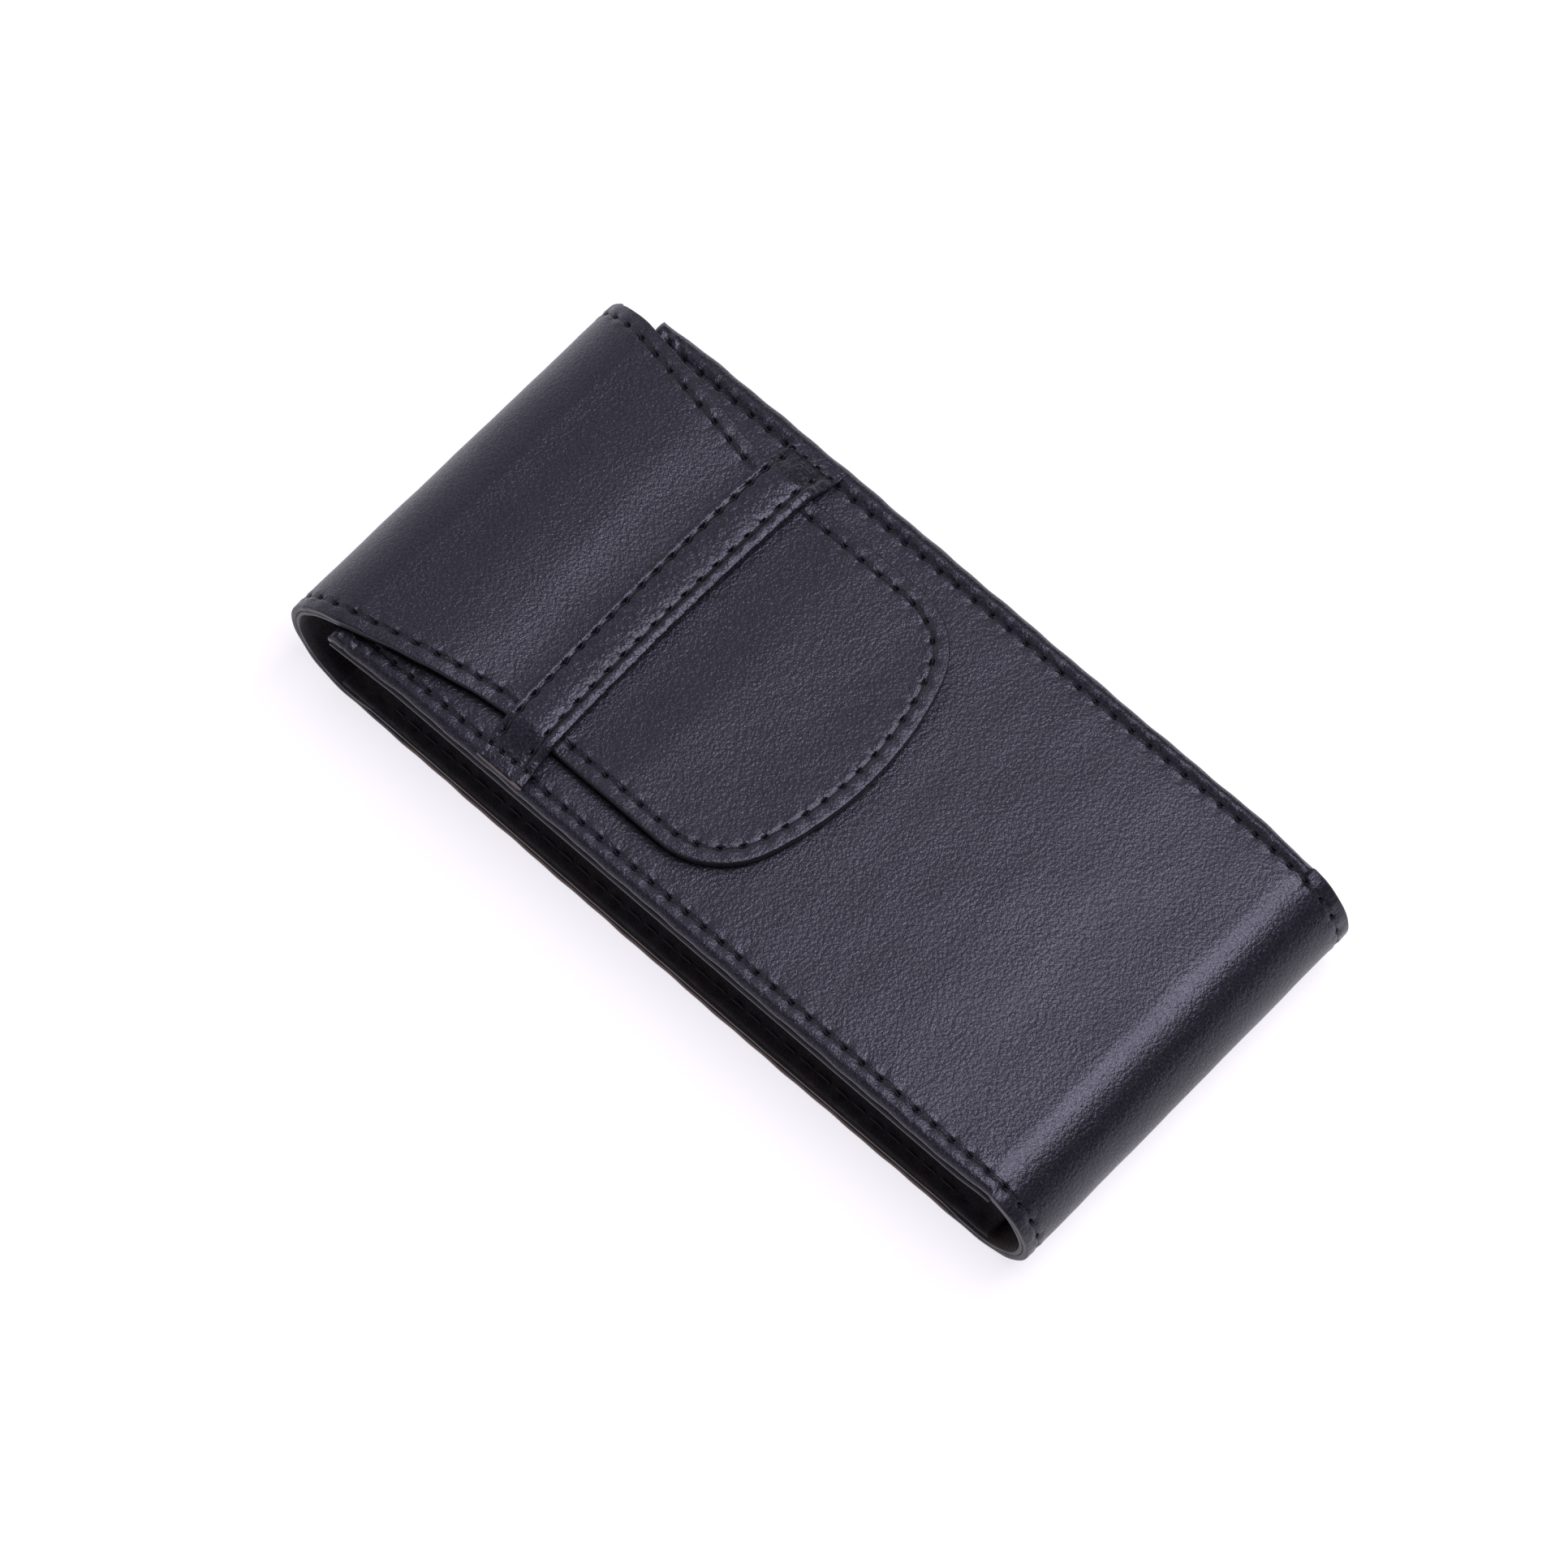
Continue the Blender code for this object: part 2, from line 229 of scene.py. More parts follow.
def half_width(s, side):
    """Half width of the strip on one side, which narrows as the flap leaves the top bend."""
    s = np.asarray(s, float)
    y = profile(s)[0]
    body = np.interp(s, *BODY_WIDTHS[side])
    flap = np.interp(y, *FLAP_WIDTHS[side])
    return np.where(s > S_FLAP - 10.0, np.minimum(flap, body), body)


FLAP_SKEW = 0.7
HALF_CUT = 38.0


def skew(s, x):
    """The flap sits slightly askew: its right side reaches further over the top bend."""
    share = ramp(s, S_TOP - 30.0, S_TOP) * ramp(s, S_FLAP + 32.0, S_FLAP + 4.0)
    return FLAP_SKEW * share * (x / (2 * HALF_CUT) + 0.5)


def flap_lift(y):
    """How far the flap's face leaves its straight line: bowed near the mouth, pressed under the strap."""
    bow = 0.3 * bump(y, 56.0, 8.0) * ramp(y, TOP_Y, TOP_Y - 8.0)
    press = -0.55 * ramp(y, 52.0, 40.0) * ramp(y, 14.0, 27.0)
    rest = -0.15 * ramp(y, 24.0, 8.0)
    return bow + press + rest


def front_sink(x, y):
    """The front panel's soft face: crowned, and pressed in where the flap covers it."""
    crown = 0.40 * (1.0 - (x / HALF_CUT) ** 2) * ramp(y, -66.0, -40.0)
    under = -0.60 * ramp(np.abs(x), 32.0, 26.0) * ramp(y, -2.0, 9.0)
    mouth = -0.30 * ramp(y, 50.0, 66.0)
    return crown + under + mouth


# ---- mesh helpers


def make_mesh(name, points, faces, uvs, material_ids, materials, flat):
    """Mesh from points in mm, with uvs per face corner; the last `flat` faces are not smoothed."""
    mesh = bpy.data.meshes.new(name)
    mesh.from_pydata((np.asarray(points) * MM).tolist(), [], faces)
    layer = mesh.uv_layers.new(name="strip")
    layer.data.foreach_set("uv", np.asarray(uvs, np.float32).ravel())
    for material in materials:
        mesh.materials.append(material)
    mesh.polygons.foreach_set("material_index", np.asarray(material_ids, np.int32))
    smoothed = np.ones(len(mesh.polygons), bool)
    smoothed[len(smoothed) - flat :] = False
    mesh.polygons.foreach_set("use_smooth", smoothed)
    mesh.validate()
    mesh.update()
    obj = bpy.data.objects.new(name, mesh)
    bpy.context.scene.collection.objects.link(obj)
    return obj


def signed_volume(points, faces):
    """Six times the volume inside the quads, positive where they face outward."""
    quads = np.array([f for f in faces if len(f) == 4])
    p = points[quads]
    return (p[:, 0] * np.cross(p[:, 1] - p[:, 3], p[:, 2])).sum()


def loft(name, rings, uv_s, uv_t, kinds, materials, cap=None):
    """A skin over rings of points, [station, place, xyz], with flat ends.

    kinds gives the material of each segment of a ring, or of each cell.
    """
    count, size = rings.shape[:2]
    points = rings.reshape(-1, 3)
    base = np.arange(count - 1)[:, None] * size + np.arange(size)[None, :]
    nxt = np.arange(count - 1)[:, None] * size + (np.arange(size)[None, :] + 1) % size
    quads = np.stack([base, nxt, nxt + size, base + size], -1).reshape(-1, 4)
    t_next = np.concatenate([uv_t[1:], uv_t[-1:] + 0.3])
    sides = (uv_s[:-1, None], uv_s[1:, None], uv_t[None, :], t_next[None, :])
    u0, u1, t0, t1 = (np.broadcast_to(side, (count - 1, size)) for side in sides)
    corners = ((u0, t0), (u0, t1), (u1, t1), (u1, t0))
    uv = np.stack([np.stack(corner, -1) for corner in corners], 2).reshape(-1, 2)
    kinds = np.asarray(kinds)
    kinds = kinds[: count - 1] if kinds.ndim == 2 else np.broadcast_to(kinds[None, :], (count - 1, size))
    ids = kinds.reshape(-1)
    faces = quads.tolist()
    first, last = list(range(size))[::-1], list(range((count - 1) * size, count * size))
    if signed_volume(points, faces) < 0:
        faces = [f[::-1] for f in faces]
        uv = uv.reshape(-1, 4, 2)[:, ::-1].reshape(-1, 2)
        first, last = first[::-1], last[::-1]
    cap_uv = [[uv_s[0], uv_t[i % size]] for i in first] + [[uv_s[-1], uv_t[i % size]] for i in last]
    faces += [first, last]
    uv = np.concatenate([uv, cap_uv])
    end = kinds[0, 0] if cap is None else cap
    ids = np.concatenate([ids, [end, end]])
    return make_mesh(name, points, faces, uv, ids, materials, 2)


# stations within one stitch, close together at its hole: on the leather, and on the thread
ROW_OFFSETS = (0.0, 0.14, 0.28, 0.42, 0.6, 0.9, 1.35, 1.875, 2.4, 2.85, 3.15, 3.33, 3.47, 3.61)
THREAD_OFFSETS = (0.0, 0.2, 0.4, 0.62, 0.95, 1.4, 1.85, 2.3, 2.75, 3.08, 3.35, 3.55)


def stations(start, end, offsets, margin, phase):
    """Stations that repeat with the stitches, kept a margin inside both ends."""
    first = math.floor((start - phase) / PITCH) - 1
    last = math.ceil((end - phase) / PITCH) + 1
    cells = (np.arange(first, last)[:, None] * PITCH + phase + np.array(offsets)[None, :]).ravel()
    return cells[(cells > start + margin) & (cells < end - margin)]


def rows_between(start, end, phase=0.0):
    """Stations of a stitched piece, with a narrow row at each cut end."""
    inside = stations(start, end, ROW_OFFSETS, 0.1, phase)
    return np.concatenate([[start, start + 0.02], inside, [end - 0.02, end]])


def hole_offset(s, phase=0.0):
    """Signed distance along the seam to the nearest needle hole."""
    return to_nearest(s - phase, PITCH)


def stitched(s, e, phase=0.0):
    """Height of leather drawn in by a row of stitches; e is the distance inward from the row."""
    along = hole_offset(s, phase)
    valley = -0.13 * bump(e, 0.0, 0.38)
    dish = -0.16 * bump(e, 0.0, 1.0) * bump(along, 0.0, 0.9)
    hole = -0.95 * needle_hole(along, e, HOLE_LONG, HOLE_WIDE)
    swell = 0.08 * bump(np.abs(e), 0.85, 0.5) * scallops(along, PITCH)
    pucker = 0.10 * bump(along, -0.5, 0.35) * bump(e, 0.5, 0.3)
    return valley + dish + hole + swell + pucker


# ---- materials


def new_material(name, colour, roughness):
    material = bpy.data.materials.new(name)
    material.use_nodes = True
    tree = material.node_tree
    shader = tree.nodes["Principled BSDF"]
    shader.inputs["Base Color"].default_value = (*colour, 1.0)
    shader.inputs["Roughness"].default_value = roughness
    return material, tree, shader


def node(tree, kind, **values):
    made = tree.nodes.new(kind)
    for key, value in values.items():
        if key in made.inputs:
            made.inputs[key].default_value = value
        else:
            setattr(made, key, value)
    return made


def strip_uv(tree, stretch=(1.0, 1.0)):
    """Place on the piece in mm, along it and across it."""
    coords = node(tree, "ShaderNodeUVMap", uv_map="strip")
    mapping = node(tree, "ShaderNodeMapping")
    mapping.inputs["Scale"].default_value = (*stretch, 1.0)
    tree.links.new(coords.outputs["UV"], mapping.inputs["Vector"])
    return mapping.outputs["Vector"]


def paint(tree, shader, factor, colour, dark, light):
    """Base colour that runs from a darker to a lighter multiple of one colour."""
    mix = node(tree, "ShaderNodeMix", data_type="RGBA")
    mix.inputs["A"].default_value = (*(c * dark for c in colour), 1.0)
    mix.inputs["B"].default_value = (*(c * light for c in colour), 1.0)
    tree.links.new(factor, mix.inputs["Factor"])
    tree.links.new(mix.outputs["Result"], shader.inputs["Base Color"])


def spread(tree, source, low, high, out_low, out_high):
    box = node(tree, "ShaderNodeMapRange")
    for key, value in (("From Min", low), ("From Max", high), ("To Min", out_low), ("To Max", out_high)):
        box.inputs[key].default_value = value
    tree.links.new(source, box.inputs["Value"])
    return box.outputs["Result"]


def maths(tree, operation, a, b):
    box = node(tree, "ShaderNodeMath", operation=operation)
    for socket, value in zip(box.inputs, (a, b)):
        if isinstance(value, (int, float)):
            socket.default_value = value
        else:
            tree.links.new(value, socket)
    return box.outputs["Value"]


def add_to(tree, base, source, share):
    """base + source * share"""
    return maths(tree, "ADD", base, maths(tree, "MULTIPLY", source, share))


def weighted(tree, first, share, second, other):
    """first * share + second * other"""
    return add_to(tree, maths(tree, "MULTIPLY", first, share), second, other)


def noise(tree, vector, output="Fac", **values):
    box = node(tree, "ShaderNodeTexNoise", **values)
    tree.links.new(vector, box.inputs["Vector"])
    return box.outputs[output]


def smooth_cells(tree, vector, scale, smoothness):
    """Distance from the middle of rounded cells."""
    box = node(tree, "ShaderNodeTexVoronoi", feature="SMOOTH_F1", Scale=scale, Smoothness=smoothness)
    tree.links.new(vector, box.inputs["Vector"])
    return box.outputs["Distance"]


def fine_relief(tree, shader, height, depth):
    """Relief too fine for the mesh, depth in mm."""
    box = node(tree, "ShaderNodeBump", Distance=depth * MM)
    tree.links.new(height, box.inputs["Height"])
    tree.links.new(box.outputs["Normal"], shader.inputs["Normal"])


def grain(tree, uv, size):
    """Pebbled hide, small rounded domes of uneven size over slower unevenness: its height, and a tone highest
    on the dome tops that the leather uses as painted glints on the tops and painted shade between them.
    """
    drift = node(tree, "ShaderNodeVectorMath", operation="SCALE")
    drift.inputs["Scale"].default_value = 1.1 * size
    tree.links.new(noise(tree, uv, "Color", Scale=0.8 / size, Detail=1.0), drift.inputs[0])
    moved = node(tree, "ShaderNodeVectorMath", operation="ADD")
    tree.links.new(uv, moved.inputs[0])
    tree.links.new(drift.outputs["Vector"], moved.inputs[1])
    place_in_grain = moved.outputs["Vector"]
    dome = spread(tree, smooth_cells(tree, place_in_grain, 1.0 / size, 0.35), 0.05, 0.75, 1.0, 0.0)
    swells = spread(tree, smooth_cells(tree, place_in_grain, 0.5 / size, 0.5), 0.05, 0.8, 1.0, 0.0)
    fine = noise(tree, uv, Scale=1.0 / size, Detail=1.5, Roughness=0.55)
    coarse = noise(tree, uv, Scale=0.25 / size, Detail=2.0)
    height = add_to(tree, weighted(tree, dome, 0.5, fine, 0.4), swells, 0.9)
    return add_to(tree, height, coarse, 0.6), weighted(tree, dome, 0.7, fine, 0.6)


def leather_material(name, size=0.32, depth=0.056, colour=(0.0062, 0.0056, 0.0085), rough=0.285):
    """Glossy grained leather, its base colour lighter on the pebble tops as painted glints and darker between
    them as painted shade; size and depth of a grain in mm.
    """
    material, tree, shader = new_material(name, colour, rough)
    uv = strip_uv(tree)
    height, pebble = grain(tree, uv, size)
    patches = noise(tree, uv, Scale=0.06, Detail=4.0)
    # painted light: the base colour runs lighter on the pebble tops (painted glints) and darker in the
    # creases (painted shade); the patches add random tone on top of it
    painted_glint_and_crease_shade = spread(tree, pebble, 0.50, 0.98, 0.0, 0.9)
    tone = maths(tree, "ADD", painted_glint_and_crease_shade, spread(tree, patches, 0.3, 0.7, 0.0, 0.1))
    paint(tree, shader, tone, colour, 0.09, 4.7)
    gloss = spread(tree, pebble, 0.50, 1.0, rough + 0.12, rough - 0.06)
    patchy = spread(tree, patches, 0.3, 0.7, 0.03, -0.02)
    tree.links.new(maths(tree, "ADD", patchy, gloss), shader.inputs["Roughness"])
    fine_relief(tree, shader, height, depth)
    shader.inputs["Specular IOR Level"].default_value = 0.5
    shader.inputs["Specular Tint"].default_value = (0.84, 0.84, 1.0, 1.0)
    return material


def edge_material(name, colour, rough):
    """Cut edge of the hide, painted and burnished, with fine streaks along it."""
    material, tree, shader = new_material(name, colour, rough)
    streaks = noise(tree, strip_uv(tree, (0.5, 7.0)), Scale=1.0, Detail=4.0)
    paint(tree, shader, spread(tree, streaks, 0.35, 0.6, 0.0, 1.0), colour, 0.45, 1.0)
    fine_relief(tree, shader, streaks, 0.05)
    return material


def suede_material(name, colour, lift):
    """Napped flesh side: very rough, with a soft sheen and brushed patches."""
    material, tree, shader = new_material(name, colour, 0.6)
    uv = strip_uv(tree)
    nap = noise(tree, uv, Scale=2.6, Detail=4.0, Roughness=0.7)
    brushed = noise(tree, uv, Scale=0.45, Detail=3.0)
    tone = spread(tree, weighted(tree, nap, 0.7, brushed, 0.5), 0.46, 0.80, 0.0, 1.0)
    paint(tree, shader, tone, colour, 0.6, lift)
    shader.inputs["Sheen Weight"].default_value = 0.06
    shader.inputs["Sheen Roughness"].default_value = 0.6
    shader.inputs["Specular IOR Level"].default_value = 0.35
    fine_relief(tree, shader, nap, 0.22)
    return material


def thread_material(name, colour):
    """Waxed twine with a fine ply."""
    material, tree, shader = new_material(name, colour, 0.5)
    ply = node(tree, "ShaderNodeTexWave", Scale=1.0)
    tree.links.new(strip_uv(tree, (3.0, 3.0)), ply.inputs["Vector"])
    paint(tree, shader, ply.outputs["Fac"], colour, 0.6, 1.4)
    fine_relief(tree, shader, ply.outputs["Fac"], 0.04)
    return material


def board_material(name, colour):
    """Pressed fibre: felt or leatherboard."""
    material, tree, shader = new_material(name, colour, 0.9)
    fibre = noise(tree, strip_uv(tree), Scale=2.5, Detail=5.0, Roughness=0.75)
    paint(tree, shader, fibre, colour, 0.6, 1.3)
    fine_relief(tree, shader, fibre, 0.1)
    return material


LEATHER = leather_material("black_grain_leather")
STRAP_LEATHER = leather_material("strap_leather_grain", 0.42, 0.085, (0.0060, 0.0054, 0.0085), 0.28)
EDGE = edge_material("painted_cut_edge", (0.016, 0.0145, 0.019), 0.46)
BACK_EDGE = edge_material("back_cut_edge", (0.115, 0.066, 0.062), 0.55)
LIP = edge_material("gusset_cut_edge", (0.060, 0.056, 0.068), 0.5)
RAW = edge_material("raw_cut_end", (0.16, 0.115, 0.095), 0.7)
LINING = suede_material("brown_black_suede", (0.016, 0.0105, 0.0095), 2.4)
GUSSET = suede_material("black_suede", (0.0062, 0.0050, 0.0066), 8.0)
THREAD = thread_material("waxed_black_thread", (0.007, 0.0065, 0.0085))
FLANGE_THREAD = thread_material("inner_grey_thread", (0.040, 0.036, 0.042))
FELT = board_material("grey_felt", (0.30, 0.28, 0.25))
BOARD = board_material("leatherboard", (0.23, 0.15, 0.09))


# ---- the strip's leather

# distance in from the edge at which the flesh side starts, and the evenly divided middle of the face
FLESH_IN = 2.0
MIDDLE_IN = 6.0
# depth over which the face's relief fades out round the edge
FADE_DEPTH = 0.9
# columns of points: distances in from the edge, shares of the middle, angles round the edge
FINE = np.array([1.25, 1.6, 1.9, 2.12, 2.3, 2.44, 2.55, 2.65, 2.75, 2.86, 3.0, 3.2, 3.45, 3.8, 4.3, 5.0, 6.0])
INNER = np.linspace(1.0, -1.0, 31)[1:-1]
ROUND = np.radians(np.array([0.0, 20.0, 42.0, 66.0, 90.0]))


def turned(s):
    """1 where the long edges are turned down over the padding: along the front panel."""
    return ramp(s, S_FRONT + 3.6, S_FRONT + 2.6)


def across(s, e, side):
    """x of a point e in from the strip's edge, with the swelling past the seam."""
    swell = np.interp(s, *SWELLS[side]) * (s < S_BACK)
    return side * (half_width(s, side) - e + swell * np.clip(1.0 - e / (SEAM_IN - 0.25), 0.0, 1.0))


def section(s):
    """x, depth, e and segment kinds round the leather at stations s.

    Kinds: 0 grain, 1 edge, 2 flesh, 3 the back panel's edge.
    """
    s = s[:, None]
    turn = turned(s)
    hem = 1.2 * ramp(s, 3.2, 2.2)
    inside = LEATHER_T + hem
    wobble = 0.04 * np.sin(s * 0.9) + 0.04 * np.sin(s * 0.37 + 1.0)
    shares = np.linspace(-1.0, 1.0, 13)[1:-1]
    sides = {}
    for side, radius_turned, wall_turned in ((-1, 0.75, 0.30), (1, 1.15, 1.15)):
        radius = 0.34 + radius_turned * turn
        wall = np.maximum(LEATHER_T + wall_turned * turn, inside)
        edge = [(FLESH_IN + 0 * s, inside), (1.4 + 0 * s, wall)]
        edge += [(0.3 + wobble, wall), (0.07 + wobble, wall - 0.13)]
        for angle in ROUND:
            inward = radius * (1 - math.cos(angle)) + wobble * math.cos(angle)
            edge.append((inward, radius * (1 - math.sin(angle))))
        edge += [(np.maximum(value + 0 * s, radius + 0.1 * (i + 1)), 0 * s) for i, value in enumerate(FINE)]
        sides[side] = edge
    columns = [(across(s, e, -1), depth + 0 * s, e) for e, depth in sides[-1]]
    left, right = across(s, MIDDLE_IN, -1), across(s, MIDDLE_IN, 1)
    for share in INNER:
        x = left * (1 + share) / 2 + right * (1 - share) / 2
        columns.append((x, 0 * s, MIDDLE_IN + 30.0 * (1 - abs(share)) + 0 * s))
    columns += [(across(s, e, 1), depth + 0 * s, e) for e, depth in sides[1][::-1]]
    left, right = across(s, FLESH_IN, -1), across(s, FLESH_IN, 1)
    for share in shares:
        x = right * (1 - share) / 2 + left * (1 + share) / 2
        columns.append((x, inside + 0 * s, FLESH_IN + 0 * s))
    size = len(columns)
    kinds = np.zeros((len(s), size), int)
    on_back = (s[:, 0] > S_BACK + 5.0) & (s[:, 0] < S_TOP - 12.0)
    wall_kind = np.where(turn[:, 0] > 0.5, 0, np.where(on_back, 3, 1))
    last = size - len(shares) - 2
    for where in range(6):
        kind = 2 if where < 2 else wall_kind
        kinds[:, where] = kind
        kinds[:, last - where] = kind
    kinds[:, last + 1 :] = 2
    return tuple(np.concatenate(part, 1) for part in zip(*columns)) + (kinds,)


def relief(s, x, depth, e):
    """Outward height of the grain face at stations s and places x, fading out round the edge and below."""
    s = s[:, None]
    y = profile(s)[0]
    face = np.clip(1.0 - depth / FADE_DEPTH, 0.0, 1.0)
    on_front = (s < S_FRONT + 3.0).astype(float)
    height = stitched(s, e - SEAM_IN)
    roll_side = np.where(x > 0, 0.42, 0.10)
    roll = roll_side * turned(s) * bump(e, 1.2, 0.95)
    dip = -0.10 * bump(e, 3.6, 1.1) * turned(s) * np.where(x > 0, 1.0, 0.4)
    sink = front_sink(x, y) * on_front * ramp(s, S_FRONT, S_FRONT - 20.0)
    mouth = -np.where(s < 1.3, 1.3 - np.sqrt(np.maximum(1.69 - (1.3 - s) ** 2, 0.0)), 0.0)
    lift = np.where(s > S_FLAP, flap_lift(y), 0.0)
    slow = 0.08 * ripple(s, x)
    pucker = 0.25 * np.sin(s * 2.1 + x) * bump(s, 3.0, 3.5) * ramp(np.abs(x), 28.0, 36.0) * on_front
    return (height + roll + dip + slow + pucker + mouth) * face + (sink + lift)


def place(s, x, outward):
    """Points of the strip at arc length s, across x, and a distance outward of its outer face."""
    y, z, ny, nz = profile(s[:, None])
    return np.stack([x, y + ny * outward + skew(s[:, None], x), z + nz * outward], -1)


def girth(x, depth):
    """Distance round the first section to each of its points."""
    return np.concatenate([[0.0], np.cumsum(np.hypot(np.diff(x[0]), np.diff(depth[0])))])


def leather_piece(name, start, end):
    s = rows_between(start, end)
    x, depth, e, kinds = section(s)
    points = place(s, x, relief(s, x, depth, e) - depth)
    return loft(name, points, s, girth(x, depth), kinds, [LEATHER, EDGE, LINING, BACK_EDGE])


def lining_depth(y):
    panel = smooth((66.5 - np.abs(y)) / 4.5)
    return LINING_TOP + panel * 0.95


def lining_piece(name, start, end):
    """Suede layer under the leather, its edge just inside the leather's."""
    s = np.linspace(start, end, max(8, int((end - start) / 1.1)))
    s = np.concatenate([[start, start + 0.02], s[1:-1], [end - 0.02, end]])
    column = s[:, None]
    back = 0.12 + 0.5 * turned(column) + 0.55 * ramp(column, S_FLAP, S_FLAP + 12.0)
    left = -(half_width(column, -1) - back)
    right = half_width(column, 1) - back
    y = profile(column)[0]
    outer = np.where(column < S_TOP, lining_depth(y), LINING_TOP)
    shares = np.linspace(0.0, 1.0, 41)
    xs = [left * (1 - share) + right * share for share in (*shares, *shares[::-1])]
    depths = [outer] * len(shares)
    depths += [outer + LINING_T + 0.05 * np.sin(column * 0.8 + share * 9.0) for share in shares[::-1]]
    kinds = ([0] * (len(shares) - 1) + [1]) * 2
    x, depth = np.concatenate(xs, 1), np.concatenate(depths, 1)
    lift = np.where(column > S_FLAP, flap_lift(y), 0.0)
    front = front_sink(x, y) * (column < S_FRONT) * ramp(column, S_FRONT, S_FRONT - 20.0)
    points = place(s, x, lift + front - depth)
    suede = LINING if start < S_TOP else GUSSET
    return loft(name, points, s, girth(x, depth), kinds, [suede, EDGE])


# ---- thread


def tube(name, line, radius, material, sides=7):
    """A round strand along points in mm."""
    line = np.asarray(line)
    tangent = unit(np.gradient(line, axis=0))
    guide = np.array([0.123, 0.231, 0.965])
    first = unit(np.cross(tangent, guide))
    second = np.cross(tangent, first)
    angles = np.arange(sides) * 2 * math.pi / sides
    across_first = np.cos(angles)[None, :, None] * first[:, None]
    across_second = np.sin(angles)[None, :, None] * second[:, None]
    rings = line[:, None] + radius * (across_first + across_second)
    return loft(name, rings, run_length(line), angles * radius, [0] * sides, [material])


def strand_heights(s, phase=0.0):
    """Height of a thread's centre over the seam: lying in the valley, diving into each hole."""
    return -0.19 - 0.80 * bump(hole_offset(s, phase), 0.0, 0.42)


def strand_rows(start, end, phase=0.0):
    return np.concatenate([[start], stations(start, end, THREAD_OFFSETS, 0.06, phase), [end]])


def strand(name, start, end, side):
    s = strand_rows(start, end)
    x = across(s, SEAM_IN, side)
    column, zero = x[:, None], np.zeros_like(x)[:, None]
    base = relief(s, column, zero, zero + SEAM_IN)[:, 0] - stitched(s, 0.0 * s)
    points = place(s, column, (base + strand_heights(s))[:, None])[:, 0]
    return tube(name, points, THREAD_R, THREAD)


def flange_strand(name, side):
    """The back seam's inner face, seen through the open side: short stitches lying on the black suede."""
    s = strand_rows(S_BACK + 6.0, S_TOP - 8.0)
    height = 3.38 - 0.55 * bump(hole_offset(s), 0.0, 0.5)
    x = side * (HALF_W - SEAM_IN) + 0 * s
    y = profile(s)[0]
    return tube(name, np.stack([x, y, height], -1), 0.16, FLANGE_THREAD)


# ---- tongue

SEAM_STEP = 0.05


def tongue_seam():
    """Dense points and outward normals of the tongue's stitch line, right root to left root."""
    reach = TIP_R - CORNER_R
    centre_x = TONGUE_HALF - CORNER_R
    rise = math.sqrt(reach**2 - centre_x**2)
    centre_y = TONGUE_TIP + TIP_R - rise
    half_angle = math.atan2(centre_x, rise)
    points, normals = [], []
    for y in np.arange(TONGUE_CUT_Y, centre_y, -SEAM_STEP):
        points.append((TONGUE_HALF - SEAM_IN, y))
        normals.append((1.0, 0.0))
    radius = CORNER_R - SEAM_IN
    for angle in np.arange(0.0, math.pi / 2 - half_angle, SEAM_STEP / radius):
        points.append((centre_x + radius * math.cos(angle), centre_y - radius * math.sin(angle)))
        normals.append((math.cos(angle), -math.sin(angle)))
    radius = TIP_R - SEAM_IN
    for angle in np.arange(half_angle, 0.0, -SEAM_STEP / radius):
        points.append((radius * math.sin(angle), TONGUE_TIP + TIP_R - radius * math.cos(angle)))
        normals.append((math.sin(angle), -math.cos(angle)))
    points, normals = np.array(points), np.array(normals)
    mirror = np.array([-1.0, 1.0])
    points = np.concatenate([points, points[::-1] * mirror])
    normals = np.concatenate([normals, normals[::-1] * mirror])
    length = run_length(points)
    keep = np.concatenate([[True], np.diff(length) > 1e-6])
    return points[keep], normals[keep], length[keep]


SEAM_POINTS, SEAM_NORMALS, SEAM_LENGTH = tongue_seam()


def on_seam(t):
    point = np.stack([np.interp(t, SEAM_LENGTH, SEAM_POINTS[:, i]) for i in range(2)], -1)
    normal = np.stack([np.interp(t, SEAM_LENGTH, SEAM_NORMALS[:, i]) for i in range(2)], -1)
    return point, unit(normal)


def tongue_phase():
    """Stitches carry on evenly from the flap's, and the run is symmetric about the tip."""
    total = SEAM_LENGTH[-1]
    count = round((total - 2 * (PITCH - (S_TONGUE % PITCH))) / PITCH)
    return (total - count * PITCH) / 2


TONGUE_PHASE = tongue_phase()


